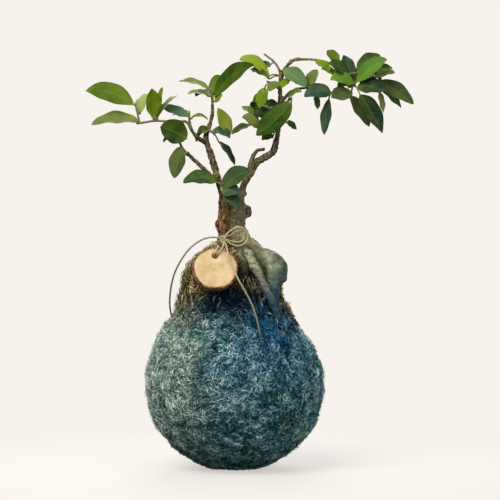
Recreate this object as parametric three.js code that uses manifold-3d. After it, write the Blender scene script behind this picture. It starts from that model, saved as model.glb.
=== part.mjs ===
// A kokedama: a small ficus with swollen roots growing out of a ball wrapped in dyed moss.
// Millimetres, +Z up. The origin is the centre of the small flat spot that the ball rests on,
// and the front of the plant looks along -Y.
import * as THREE from 'three';
import { mergeVertices } from 'three/addons/utils/BufferGeometryUtils.js';
import Module from 'manifold-3d';

const wasm = await Module();
wasm.setup();

// Driving dimensions
const BALL_RADIUS = 72;
const BALL_CENTRE_Z = 70;
const SKIN_THICKNESS = 10;
const CLEARANCE = 0.3;
const BALL_DETAIL = 5;
const SHOULDER = { x: 0.75, y: 0, z: 0.66, depth: 6, spread: 0.42 };
const CORE_DETAIL = 3;
const MOUND_CENTRE_X = -3;
const MOUND_SIDES = 18;
const LEAF_THICKNESS = 1.2;
const LEAF_FOLD = 0.22;
const PETIOLE_RADIUS = 0.75;
const STALK_ROOT_DEPTH = 0.8;
const BLADE_STATIONS = [0.16, 0.42, 0.74, 1];
const STRING_RADIUS = 0.8;
const STRING_SIDES = 8;
const TAG_RADIUS = 18;
const TAG_THICKNESS = 6.5;
const TAG_CENTRE = new THREE.Vector3(-16, -41, 161.6);
const TAG_LEAN = THREE.MathUtils.degToRad(25);
const TAG_TURN = THREE.MathUtils.degToRad(10);
const TAG_HOLE = { x: 0.4, y: 10.5, radius: 2.6 };
const KNOT_CENTRE = new THREE.Vector3(-10.4, -21, 185.2);
const KNOT_RADII = new THREE.Vector3(3.2, 2.4, 2.8);
const END_KNOT_CENTRE = new THREE.Vector3(20.2, -57.7, 108.6);
const END_KNOT_RADII = new THREE.Vector3(1.9, 1.7, 1.6);

// The collar of brown moss: radius and height of each ring, from its hidden foot to its top
const MOUND_RINGS = [
  [43, 106], [46, 118], [45, 128], [42, 143], [40, 154], [36.5, 163], [31, 170.5], [22, 177], [11, 181],
];

// Roots, trunk and branches. Each point is x, y, z and the radius of the wood there.
const TRUNK = [
  [-2, 4, 128, 6], [-2, 4, 142, 10], [-1, 3, 160, 12.5], [0, 2, 175, 13.2], [-0.4, 1.4, 184, 12.2],
  [-2.8, 0.5, 193.5, 10.2], [-2.6, 0, 201, 10.8], [-1.8, 0, 208, 10.8], [-2.6, 0, 216, 10.2],
  [-3, 0, 222.5, 7.6], [-3, 0, 226.5, 3.6],
];
const ROOTS = [
  { sides: 10, points: [[5, 0, 179, 9], [17, -5, 169.5, 9.6], [28.5, -11, 165, 9.9], [32.8, -16, 156.8, 8.8],
    [30.4, -20, 148.5, 6.4], [30, -23, 141, 5.2], [30.6, -25, 131, 4.4], [31.4, -26, 118, 3.6],
    [31, -25, 104, 3.2]] },
  { sides: 8, points: [[4, -6, 172, 4], [10.6, -20.4, 171.6, 4.4], [13.6, -25.6, 165.6, 3.5], [18, -29, 158, 3.4],
    [22.4, -32.4, 149.5, 3.3], [26.4, -34.8, 141.8, 3.2], [30, -35.6, 133, 3.1], [32.8, -35, 124, 3],
    [33.6, -32, 114, 2.9], [33.6, -30, 106, 2.8]] },
  { sides: 8, points: [[2, -3, 184, 7.4], [4, -8.6, 177, 6.8], [5, -21.4, 169.5, 6], [5.6, -27.4, 163, 5.6],
    [6.4, -28.6, 157, 4.6], [7, -27, 150, 3]] },
  { sides: 9, points: [[4, 6, 180, 9], [13, 18, 172, 9.5], [19, 27, 161, 8.4], [21, 32, 148, 6],
    [20, 34, 134, 4.4], [18, 32, 106, 3.4]] },
  { sides: 8, points: [[-6, 6, 180, 7], [-16, 16, 168, 7.6], [-24, 24, 155, 6], [-28, 28, 140, 4.4],
    [-28, 27, 108, 3.4]] },
  { sides: 7, points: [[-9, -4, 212, 2.2], [-11, -8, 200, 2.8], [-9.5, -12, 190, 3], [-9, -14, 180, 3.2],
    [-8, -18, 166, 3]] },
  { sides: 6, points: [[-10, -2, 217, 1.8], [-11, -5, 203, 2], [-11, -9, 190, 2.2], [-13, -12, 176, 2.2],
    [-15, -14, 166, 2]] },
  { sides: 6, points: [[-9, 5, 214, 1.8], [-11, 7, 198, 2.4], [-12, 9, 184, 2.6], [-16, 12, 168, 2.2]] },
];
const KNOBS = [
  [[5, -2, 211, 3], [9.6, -3, 208.4, 2.4], [10.4, -3, 204.6, 2.3], [7, -2.5, 201, 2.4], [4, -2, 196, 2.2]],
  [[-9, -5, 201, 2.6], [-13.2, -5.5, 196.4, 3.2], [-10, -5, 191, 2.6]],
  [[36, -17, 160, 4], [40.2, -18, 156.8, 1.9], [41, -18, 156, 1.2]],
  [[0, 8, 214, 3], [2, 11, 207, 3], [0, 8, 200, 3]],
  [[24, -12, 170, 4], [27, -19.4, 165.4, 4.8], [28.4, -20.6, 159.4, 4.2], [28, -18, 152, 3]],
];
const BRANCHES = {
  right: [[4, 1, 216, 4.4], [7.1, 0, 228, 3], [12.6, -1, 237.6, 3], [16.4, -2, 244.6, 3.1],
    [24.4, -2, 249.8, 3], [29.8, -2, 253.2, 2.8], [31.6, -1, 258, 2.6], [33.2, 1, 266, 2.2],
    [35, 3, 280, 2], [35.6, 4, 293, 1.9], [35.6, 5, 306, 1.7], [36, 5, 316, 1.4]],
  right_stub: [[9, 0, 232, 2.2], [11, 1, 240, 1.8], [16, 2, 253.6, 1.6], [23.6, 2, 256, 1.2]],
  left: [[-9, 0, 217, 4], [-13, 1, 228, 2.9], [-15.4, 3, 237, 2.8], [-20.2, 6, 252.6, 2.6],
    [-23, 8, 261, 2.3], [-23.6, 9, 266.6, 2], [-21.2, 10, 273.6, 1.8], [-18.6, 10, 284, 1.6],
    [-18.4, 9, 292, 1.4]],
  left_twig: [[-11, -2, 226, 2.2], [-17, -5, 233, 1.7], [-28, -9, 243, 1.5], [-39, -13, 253, 1.3]],
  left_upper: [[-22.6, 8, 260, 2], [-27, 5, 262.6, 1.8], [-31, 2, 265.4, 1.7], [-36, -2, 272.4, 1.5]],
  right_side: [[35.4, 4, 291, 1.8], [40, 4, 297.6, 1.5], [48, 3, 303.6, 1.3], [55, 3, 304.6, 1.2]],
  back_twig: [[34, 2, 272, 2], [33, 8, 279, 1.6], [29, 17, 286, 1.4], [26, 24, 289, 1.2]],
  right_top: [[36, 5, 310, 1.6], [40, 4, 320, 1.5], [46, 2, 326.6, 1.4], [56, 0, 327.6, 1.3]],
};

// The leafy sprays. A stem's points are x, y, z and radius, from inside the branch outwards.
// A leaf is base, tip, blade width, the width that shows from the front, and how far its middle
// stands above the straight line from base to tip.
const SPRAYS = {
  spray_far_left: {
    colour: 0x7d9c3c,
    stems: [[[-35.4, -2, 271.4, 1.3], [-38.8, -4, 277.4, 1.2], [-50, -6, 277.8, 1], [-64, -8, 278.4, 0.9],
      [-76, -9, 276.6, 0.9]], [[-76, -9, 276.6, 0.8], [-79.4, -9, 290, 0.7]]],
    leaves: [
      [[-80.8, -9, 291.2], [-118.8, -14, 302], 17.5, 15.6, 4],
      [[-77, -10, 278], [-114, -16, 275.4], 17, 9.4, 3.4],
      [[-64.4, -10, 281], [-66.4, -15, 304], 14, 12.4, 0],
      [[-63, -7, 281.4], [-58.2, -4, 305.2], 12, 5.6, 0],
      [[-62, -6, 281.6], [-46.8, 2, 298.6], 12, 3.4, 2],
      [[-76, -5, 284], [-72, 8, 300], 13, 9, 2],
      [[-66, -4, 281], [-70, 20, 292], 15, 6, 2],
    ],
  },
  spray_left: {
    colour: 0x3f6b38,
    stems: [[[-38, -12.6, 252.2, 1.1], [-41.5, -14, 256, 1.1], [-43.5, -14.5, 259.6, 1], [-45, -14, 264, 0.8]]],
    leaves: [
      [[-38.6, -15, 264.4], [-59.4, -20, 273.4], 20, 19, 1],
      [[-43.4, -16, 258], [-48.4, -20, 233], 14, 13, 0],
      [[-45, -10, 263.6], [-58, 8, 262], 15, 7, 3],
    ],
  },
  spray_left_upper: {
    colour: 0x4c7a55,
    stems: [[[-31, 2, 265.4, 1.2], [-34, 3.4, 269.6, 1.1], [-36.6, 5.4, 277, 1], [-37, 7, 284, 0.8]]],
    leaves: [
      [[-37, 4, 281.4], [-59.5, 1, 289], 12, 7.4, 1.2],
      [[-38, 8, 282], [-50, 26, 284], 13, 5, 1],
      [[-36, 6, 280], [-22, 3, 279.4], 5, 2.6, 3.2],
    ],
  },
  spray_fork: {
    colour: 0x2f6a40,
    stems: [[[-10, -4, 219, 1.6], [-11.4, -9, 224, 1.4], [-11, -14, 227, 1]]],
    leaves: [
      [[-15.5, -14, 229.8], [-41.2, -20, 229.4], 15.5, 10.6, 3.6],
      [[-10.4, -15, 225.4], [11.6, -21, 238.4], 15.5, 13.6, 3],
      [[-11, -15.5, 223.4], [2.4, -22, 220.6], 13.5, 12, 1.6],
      [[-9.4, -15, 220.4], [3.4, -21, 208.4], 12, 9.6, 1.6],
    ],
  },
  spray_middle: {
    colour: 0x5f8a3c,
    stems: [[[-22.6, 9, 270, 1.2], [-21.4, 5, 270.4, 1.2], [-19.4, 1, 270, 1], [-17.6, -2, 268.4, 0.8]]],
    leaves: [
      [[-4, -4, 267.8], [-14, -8, 288.4], 12, 10.4, 0],
      [[-17.6, -4, 271.6], [-4.4, -14, 264.4], 11, 7, 2],
      [[-13.4, -3, 261.8], [-0.4, -7, 242.8], 12, 5, 2],
      [[-24, 4, 268.6], [-32, 22, 262], 14, 6, 3],
    ],
  },
  spray_middle_top: {
    colour: 0x4f8f2e,
    stems: [[[-18.4, 9, 291, 1.1], [-18.6, 8, 296, 1.1], [-19.4, 7, 301, 0.9]]],
    leaves: [
      [[-17.4, 5, 297.4], [14.4, -8, 322.6], 15.5, 12.8, 5.6],
      [[-20.6, 6, 303.6], [-44.8, 1, 309.8], 12, 4.4, 2.4],
      [[-21, 9, 298], [-38.8, 14, 300], 10, 3.6, 2.4],
      [[-16, 5, 293.6], [-10.4, 0, 299], 7, 5, 0.8],
      [[-18.4, 12, 300], [-8, 34, 310], 16, 9, 5],
      [[-20, 12, 298], [-31, 34, 299], 14, 3, 2.4],
    ],
  },
  spray_centre: {
    colour: 0x2f7a26,
    stems: [[[34.4, 2, 276, 1.4], [29, -3, 279, 1.2], [23.6, -6, 279, 1], [17, -7, 277.4, 0.8]]],
    leaves: [
      [[16, -5, 282], [4.8, 0, 289.8], 10, 5, 1],
      [[27, -4, 282.6], [14.4, -8, 284], 12, 9.4, 1],
      [[19.6, -8, 272.6], [5.4, -14, 281], 12, 8.6, 2],
      [[12, -7, 275], [-3, -12, 267.4], 10, 5, 1.6],
      [[40.6, 0, 277], [48.8, 3, 271.6], 8, 5, 0.8],
      [[30.4, -6, 267], [21.2, -10, 263], 9, 6, 0.8],
    ],
  },
  spray_big_leaf: {
    colour: 0x2c7a1e,
    stems: [[[35.2, 4, 290, 1.3], [39, -1, 292.4, 1], [43.4, -6, 295.4, 0.9]]],
    leaves: [
      [[44.6, -11, 293.6], [16.6, -17, 267], 20, 17, -2.4],
      [[42, -7, 296], [52, -20, 301], 9, 4, 2],
    ],
  },
  spray_young: {
    colour: 0x86a83a,
    stems: [[[35.6, 4.6, 303, 1.2], [31.4, 0, 307, 1], [27, -3, 309, 0.8]]],
    leaves: [
      [[23.4, -5, 305], [19.4, -8, 288.6], 11, 9.4, 0],
      [[34, -3, 309], [26, -8, 302], 9, 7.2, 0.6],
      [[34.6, 0, 304.4], [44.4, 2, 312], 8, 5.6, 0.6],
    ],
  },
  spray_back: {
    colour: 0x3a7030,
    stems: [[[26.6, 22.6, 288.6, 1], [24, 29, 290, 0.9], [21, 36, 290, 0.8]]],
    leaves: [
      [[22, 40, 290], [14, 66, 287], 16, 10, 5],
      [[24, 32, 289], [40, 52, 286], 16, 9, 2],
      [[22, 30, 288], [14, 44, 276], 15, 8, 2],
      [[23.4, 31, 288], [32, 48, 278], 15, 9, 2],
    ],
  },
  spray_centre_top: {
    colour: 0x6f9a3c,
    stems: [[[35.8, 5, 312, 1.1], [35, 5, 319, 1], [31, 5, 325.4, 0.9], [25, 5, 330.2, 0.8]]],
    leaves: [
      [[27, 6, 312], [3.2, 9, 327.2], 12, 9, 6],
      [[25, 0, 313.6], [11.6, 6, 320], 9, 5, 1],
      [[38, 0, 318.4], [56.4, -10, 305], 14, 12.4, 2.6],
      [[38, 9, 318], [52, 32, 308], 14, 8, 2],
      [[27, 8, 322], [14, 26, 318], 12, 6, 2],
    ],
  },
  spray_right_low: {
    colour: 0x3c6e44,
    stems: [[[53, 3, 304.4, 0.95], [60, 2, 304.8, 0.9], [68, 0, 303, 0.8], [77, -2, 301, 0.8]]],
    leaves: [
      [[57, 0, 306.4], [65.6, -4, 319], 11, 8.6, 0],
      [[76, -5, 300], [54.8, -12, 297.6], 14.5, 12, 3],
      [[74.4, -4, 295.6], [70.6, -8, 267.4], 11, 8.4, 0],
      [[64, 0, 299], [65.2, -3, 287.6], 8, 5, 0],
      [[70, 4, 302], [68, 26, 300], 13, 6, 0],
    ],
  },
  spray_right: {
    colour: 0x2f6b34,
    stems: [[[53.6, 0.2, 327.6, 1.1], [64, -1, 327, 1], [77, -2, 323.4, 1], [87.4, -3, 315, 1],
      [94, -3, 307.4, 0.9]],
      [[87.4, -3, 315, 0.8], [99, 0, 316.6, 0.8], [110, 3, 314, 0.8]]],
    leaves: [
      [[96.4, -6, 309], [120.4, -13, 327], 15, 12.4, 3],
      [[97.6, 2, 318], [116, 11, 330.6], 14, 9.6, 3],
      [[93, 1, 314], [86.4, 5, 331], 13, 10, 0],
      [[88, -5, 316.4], [74.4, -13, 323], 12, 9, 2],
      [[94, -7, 308], [75.4, -15, 310.6], 13, 9.6, 2.6],
      [[110, 4, 317], [126, 12, 321], 11, 6.4, 1.4],
      [[111, 0, 313], [127, -5, 316.6], 10, 5.6, 1.4],
      [[113, 3, 308.6], [142, -2, 291.8], 15, 13, 2.6],
      [[113, 8, 307], [133.4, 20, 289], 14, 9, 3],
      [[97, -6, 304.4], [119.6, -16, 301.4], 15, 12.8, 3],
      [[99, -8, 299.6], [116.4, -18, 268.8], 16.5, 14, 2],
      [[92, -5, 298], [106.4, -9, 274], 14, 10.6, 0.8],
      [[114.6, 4, 302], [118.4, 6, 285], 9, 5, 0],
      [[92, -6, 302.4], [76.4, -19, 296.4], 15, 12.4, 0],
      [[64, -3, 326], [75, -10, 318], 10, 6.4, 1],
      [[79, -6, 316], [68.4, -12, 319.4], 9, 6, 1],
      [[82, -1, 325], [73, 2, 334.6], 10, 8, 0.6],
      [[95, 1, 306], [100, 28, 312], 16, 9, 5],
      [[91, 1, 305], [82, 26, 300], 15, 8, 4],
      [[104, 5, 315], [118, 28, 310], 15, 8, 4],
      [[84, 2, 318], [80, 24, 312], 12, 6, 2],
    ],
  },
};

// Routes of the string, from the knot outwards
const BOW_OUTER = [
  [-9, -21.4, 185.8], [-4.6, -20.6, 190.8], [2.6, -19.4, 194.4], [8.8, -17.6, 191], [10.2, -16.8, 186.4],
  [7.9, -17.6, 181.8], [3, -19.2, 179.4], [-2.6, -20.8, 180.6], [-8.4, -21.6, 184.2],
];
const BOW_INNER = [
  [-9, -20.4, 186], [-4.2, -18, 187.6], [0.8, -16.6, 190.6], [4.6, -15.8, 191], [7, -15.2, 187.4],
  [5.6, -15.8, 183.6], [1.6, -17.2, 182.2], [-3, -18.6, 183], [-8.6, -20.6, 184.8],
];
const LEFT_TAIL = [
  [-11.4, -21, 185.3], [-15.6, -22.4, 186.2], [-20, -23.2, 186.2], [-25.4, -23.2, 184.8], [-31.4, -22.2, 181.4],
  [-38, -20, 175.2], [-44, -17.4, 166.4], [-48, -15, 158.4], [-50.6, -12.6, 149.6], [-52, -10.4, 140.6],
  [-52.4, -8.8, 132.4], [-51.4, -7.4, 124.6], [-49.6, -6.4, 117.6],
];
const RIGHT_TAIL = [
  [-9.2, -22.2, 183.2], [-8, -26.8, 181.6], [-6.8, -35, 179], [-5.8, -39.4, 174.6], [-3.4, -42, 167.4],
  [-0.6, -44.8, 161], [2, -46.8, 155], [6.2, -46.6, 147.5], [11.2, -46, 138.4], [14.6, -46.6, 130.4],
  [17, -49.8, 122.8], [18.7, -54.9, 115], [19.8, -57.3, 110.4],
];
// The turn through the tag's hole, after its first point, in the tag's own frame:
// across the face, up the face and out of the face, from the middle of the slice
const TAG_LOOP_START = [-11.6, -22, 183.8];
const TAG_LOOP = [
  [8, 21, 2], [7, 17.4, 4.9], [4.2, 13.8, 5], [2, 11.5, 4.4], [1.4, 10.6, 0], [1.4, 11.3, -4.4],
  [1.6, 14, -5], [2.4, 17.8, -4.9], [2.8, 20, 0], [3, 17.8, 4.9], [1.4, 13.8, 5],
  [-0.4, 11.5, 4.4], [-0.6, 10.6, 0], [-0.7, 9.6, -4.2], [-1, 7, -4.8],
];

const vector = ([x, y, z]) => new THREE.Vector3(x, y, z);

// Uneven swell of the moss ball: a smooth function of the direction from its centre, with one
// flatter shoulder
function ballSwell(direction) {
  const { x, y, z } = direction;
  const broad = Math.sin(4.1 * x + 0.7) * Math.cos(3.3 * y - 0.4);
  const fine = Math.sin(5.3 * z + 3.7 * x + 1.1) * Math.cos(4.6 * y + 0.5);
  const away = Math.hypot(x - SHOULDER.x, y - SHOULDER.y, z - SHOULDER.z) / SHOULDER.spread;
  return 0.9 * broad + 0.7 * fine - SHOULDER.depth * Math.exp(-away * away);
}

// Uneven swell of the moss collar, by the angle round it and the height
function moundSwell(angle, z) {
  return 0.9 * Math.sin(3 * angle + 0.08 * z) + 0.7 * Math.sin(5 * angle - 0.11 * z + 1);
}

// Closed body through a list of rings with equal numbers of points, capped at both ends
function bodyOfRings(rings) {
  const sides = rings[0].length;
  const positions = rings.flat().flatMap((point) => point.toArray());
  const centreOf = (ring) => ring.reduce((sum, point) => sum.add(point), new THREE.Vector3())
    .divideScalar(ring.length);
  positions.push(...centreOf(rings[0]).toArray(), ...centreOf(rings[rings.length - 1]).toArray());
  const firstCentre = rings.length * sides;
  const lastCentre = firstCentre + 1;
  const lastRing = (rings.length - 1) * sides;
  const index = [];
  for (let i = 0; i < sides; i++) {
    const next = (i + 1) % sides;
    for (let ring = 0; ring < rings.length - 1; ring++) {
      const a = ring * sides + i;
      const b = ring * sides + next;
      index.push(a, b, b + sides, a, b + sides, a + sides);
    }
    index.push(firstCentre, next, i);
    index.push(lastCentre, lastRing + i, lastRing + next);
  }
  const geometry = new THREE.BufferGeometry();
  geometry.setAttribute('position', new THREE.Float32BufferAttribute(positions, 3));
  geometry.setIndex(index);
  return geometry;
}

// Solid from a closed geometry, turned right side out
function solid(geometry) {
  const bare = geometry.clone();
  bare.deleteAttribute('normal');
  bare.deleteAttribute('uv');
  const merged = mergeVertices(bare, 1e-4);
  const place = merged.getAttribute('position');
  const triangles = Uint32Array.from(merged.getIndex().array);
  const [a, b, c] = [new THREE.Vector3(), new THREE.Vector3(), new THREE.Vector3()];
  let volume = 0;
  for (let i = 0; i < triangles.length; i += 3) {
    a.fromBufferAttribute(place, triangles[i]);
    b.fromBufferAttribute(place, triangles[i + 1]);
    c.fromBufferAttribute(place, triangles[i + 2]);
    volume += a.dot(b.cross(c));
  }
  if (volume < 0) triangles.reverse();
  return new wasm.Manifold(new wasm.Mesh({
    numProp: 3, vertProperties: Float32Array.from(place.array), triVerts: triangles,
  }));
}

function joined(solids) {
  return solids.reduce((whole, next) => whole.add(next));
}

function cutBy(body, cutters) {
  return cutters.reduce((rest, cutter) => rest.subtract(cutter), body);
}

// The biggest body of a cut solid: a loose scrap past a crossing is dropped
function largestBody(body) {
  return body.decompose().reduce((best, piece) => (piece.volume() > best.volume() ? piece : best));
}

function namedMesh(name, body, look) {
  const mesh = body.getMesh();
  const geometry = new THREE.BufferGeometry();
  geometry.setAttribute('position', new THREE.BufferAttribute(mesh.vertProperties, 3));
  geometry.setIndex(new THREE.BufferAttribute(mesh.triVerts, 1));
  geometry.computeVertexNormals();
  const result = new THREE.Mesh(geometry, new THREE.MeshStandardMaterial(look));
  result.name = name;
  return result;
}

// Round limb along a smooth curve through points of x, y, z and radius
function limb(points, sides, grow = 0) {
  const curve = new THREE.CatmullRomCurve3(points.map(vector), false, 'centripetal');
  const last = points.length - 1;
  const side = new THREE.Vector3().crossVectors(curve.getTangent(0), new THREE.Vector3(0.31, 0.95, 0.05));
  const rings = points.map((point, i) => {
    const tangent = curve.getTangent(i / last);
    side.addScaledVector(tangent, -side.dot(tangent)).normalize();
    const across = new THREE.Vector3().crossVectors(tangent, side);
    const radius = point[3] + grow;
    const end = (i === 0 ? -grow : 0) + (i === last ? grow : 0);
    return Array.from({ length: sides }, (unused, k) => {
      const angle = 2 * Math.PI * k / sides;
      return vector(point)
        .addScaledVector(tangent, end)
        .addScaledVector(side, radius * Math.cos(angle))
        .addScaledVector(across, radius * Math.sin(angle));
    });
  });
  return solid(bodyOfRings(rings));
}

function treeSolid(grow = 0) {
  return joined([
    limb(TRUNK, 10, grow),
    ...ROOTS.map((root) => limb(root.points, root.sides, grow)),
    ...KNOBS.map((knob) => limb(knob, 5, grow)),
    ...Object.values(BRANCHES).map((branch) => limb(branch, 6, grow)),
  ]);
}

function ballSolid() {
  const geometry = new THREE.IcosahedronGeometry(1, BALL_DETAIL);
  const place = geometry.getAttribute('position');
  const point = new THREE.Vector3();
  for (let i = 0; i < place.count; i++) {
    point.fromBufferAttribute(place, i).normalize();
    point.multiplyScalar(BALL_RADIUS + ballSwell(point));
    place.setXYZ(i, point.x, point.y, point.z + BALL_CENTRE_Z);
  }
  const below = new THREE.BoxGeometry(200, 200, 100).translate(0, 0, -50);
  return solid(geometry).subtract(solid(below));
}

function coreSolid(grow = 0) {
  const geometry = new THREE.IcosahedronGeometry(BALL_RADIUS - SKIN_THICKNESS + grow, CORE_DETAIL);
  return solid(geometry.translate(0, 0, BALL_CENTRE_Z));
}

// Collar of moss: rings with an uneven edge, lower on the right where the big root leaves the trunk
function moundSolid(grow = 0) {
  const rings = MOUND_RINGS.map(([radius, z]) => Array.from({ length: MOUND_SIDES }, (unused, k) => {
    const angle = 2 * Math.PI * k / MOUND_SIDES;
    const reach = radius + moundSwell(angle, z) + grow;
    const x = MOUND_CENTRE_X + reach * Math.cos(angle);
    const slump = z > 150 ? 0.3 * Math.max(0, x) : 0;
    return new THREE.Vector3(x, reach * Math.sin(angle), z - slump);
  }));
  return solid(bodyOfRings(rings));
}

// Frame of the wood slice: x across its face, y up its face, z out of its face
function tagFrame() {
  const out = new THREE.Vector3(
    Math.sin(TAG_TURN) * Math.cos(TAG_LEAN),
    -Math.cos(TAG_TURN) * Math.cos(TAG_LEAN),
    Math.sin(TAG_LEAN),
  );
  const across = new THREE.Vector3(Math.cos(TAG_TURN), Math.sin(TAG_TURN), 0);
  const up = new THREE.Vector3().crossVectors(out, across);
  return new THREE.Matrix4().makeBasis(across, up, out).setPosition(TAG_CENTRE);
}

// Wood slice: an uneven round outline with bevelled rims and a hole near its top edge
function tagSolid(grow = 0) {
  const corners = 28;
  const outline = Array.from({ length: corners }, (unused, k) => {
    const angle = 2 * Math.PI * k / corners;
    const radius = TAG_RADIUS + grow + 0.45 * Math.sin(2 * angle + 0.6) + 0.25 * Math.sin(5 * angle);
    return new THREE.Vector2(radius * Math.cos(angle), radius * Math.sin(angle));
  });
  const shape = new THREE.Shape(outline);
  if (grow === 0) {
    const hole = Array.from({ length: 10 }, (unused, k) => {
      const angle = 2 * Math.PI * k / 10;
      return new THREE.Vector2(
        TAG_HOLE.x + TAG_HOLE.radius * Math.cos(angle),
        TAG_HOLE.y + TAG_HOLE.radius * Math.sin(angle),
      );
    });
    shape.holes.push(new THREE.Path(hole));
  }
  const depth = TAG_THICKNESS + 2 * grow;
  const geometry = new THREE.ExtrudeGeometry(shape, { depth, bevelEnabled: false });
  geometry.translate(0, 0, -depth / 2).applyMatrix4(tagFrame());
  return solid(geometry);
}

// String along a smooth curve: an extruded round section with a step every two or three diameters
function stringSolid(points, stepLength, grow = 0) {
  const curve = new THREE.CatmullRomCurve3(points.map(vector), false, 'centripetal');
  const section = new THREE.Shape(Array.from({ length: STRING_SIDES }, (unused, k) => {
    const angle = 2 * Math.PI * k / STRING_SIDES;
    const radius = STRING_RADIUS + grow;
    return new THREE.Vector2(radius * Math.cos(angle), radius * Math.sin(angle));
  }));
  const steps = Math.round(curve.getLength() / stepLength);
  return solid(new THREE.ExtrudeGeometry(section, { steps, extrudePath: curve, bevelEnabled: false }));
}

function tagLoopPoints() {
  const frame = tagFrame();
  return [TAG_LOOP_START, ...TAG_LOOP.map((point) => vector(point).applyMatrix4(frame).toArray())];
}

function knotSolid(centre, radii, grow = 0) {
  const geometry = new THREE.SphereGeometry(1, 8, 6);
  geometry.scale(radii.x + grow, radii.y + grow, radii.z + grow);
  return solid(geometry.translate(centre.x, centre.y, centre.z));
}

// The place on the spray's stems that is nearest to a leaf's foot
function nearestOnStems(foot, stems) {
  const places = stems.flatMap((stem) => {
    const curve = new THREE.CatmullRomCurve3(stem.map(vector), false, 'centripetal');
    return curve.getPoints(24).slice(4);
  });
  return places.reduce((best, place) => (place.distanceTo(foot) < best.distanceTo(foot) ? place : best));
}

// Four points round a leaf stalk, in the same order as the corners of a blade's section
function stalkRing(centre, tangent, side, normal) {
  const level = side.clone().addScaledVector(tangent, -side.dot(tangent));
  const upright = Math.abs(side.dot(tangent)) > 0.9;
  const across = upright ? new THREE.Vector3().crossVectors(tangent, normal).normalize() : level.normalize();
  const over = new THREE.Vector3().crossVectors(across, tangent);
  return [180, 270, 0, 90].map((degrees) => {
    const angle = THREE.MathUtils.degToRad(degrees);
    return centre.clone()
      .addScaledVector(across, PETIOLE_RADIUS * Math.cos(angle))
      .addScaledVector(over, PETIOLE_RADIUS * Math.sin(angle));
  });
}

// Leaf: a stalk from the nearest stem, and a thin blade with an oval outline, thickest at its midrib
// and folded up a little along it. The blade runs from base to tip on an arc, and is turned about that line until
// the stated width shows from the front.
function leafSolid([base, tip, width, seen, lift], stems) {
  const from = vector(base);
  const to = vector(tip);
  const middle = from.clone().add(to).multiplyScalar(0.5).add(new THREE.Vector3(0, 0, 2 * lift));
  const curve = new THREE.QuadraticBezierCurve3(from, middle, to);
  const turn = Math.acos(Math.min(1, seen / width));
  const front = new THREE.Vector3(0, -1, 0);
  const frameAt = (along) => {
    const tangent = curve.getTangent(along);
    const face = front.clone().addScaledVector(tangent, -front.dot(tangent)).normalize();
    const turned = [turn, -turn].map((angle) => face.clone().applyAxisAngle(tangent, angle));
    const normal = turned[0].z >= turned[1].z ? turned[0] : turned[1];
    return { tangent, normal, side: new THREE.Vector3().crossVectors(tangent, normal) };
  };
  const nearest = nearestOnStems(from, stems);
  const start = frameAt(0);
  const stalkWay = from.clone().sub(nearest).normalize();
  const root = nearest.addScaledVector(stalkWay, -STALK_ROOT_DEPTH);
  const joint = stalkWay.clone().add(start.tangent).normalize();
  const rings = [
    stalkRing(root, stalkWay, start.side, start.normal),
    stalkRing(from, joint, start.side, start.normal),
  ];
  for (const along of BLADE_STATIONS) {
    const { normal, side } = frameAt(along);
    const half = Math.max(0.35, 0.5 * width * Math.sin(Math.PI * along ** 0.92) ** 0.8);
    const centre = curve.getPoint(along);
    const at = (across, height) => centre.clone()
      .addScaledVector(side, across)
      .addScaledVector(normal, height);
    const rise = LEAF_FOLD * half;
    rings.push([
      at(-half, rise), at(0, -LEAF_THICKNESS / 2), at(half, rise), at(0, LEAF_THICKNESS / 2),
    ]);
  }
  return solid(bodyOfRings(rings));
}

function spraySolid({ stems, leaves }) {
  return joined([
    ...stems.map((stem) => limb(stem, 5)),
    ...leaves.map((leaf) => leafSolid(leaf, stems)),
  ]);
}

const MOSS = { color: 0x3f6c72, roughness: 1, metalness: 0 };
const PEAT = { color: 0x6b5232, roughness: 1, metalness: 0 };
const SOIL = { color: 0x33261a, roughness: 1, metalness: 0 };
const BARK = { color: 0x7c735c, roughness: 0.85, metalness: 0 };
const TAG_WOOD = { color: 0xe6c594, roughness: 0.7, metalness: 0 };
const TWINE = { color: 0xa59b6c, roughness: 0.8, metalness: 0 };

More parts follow.
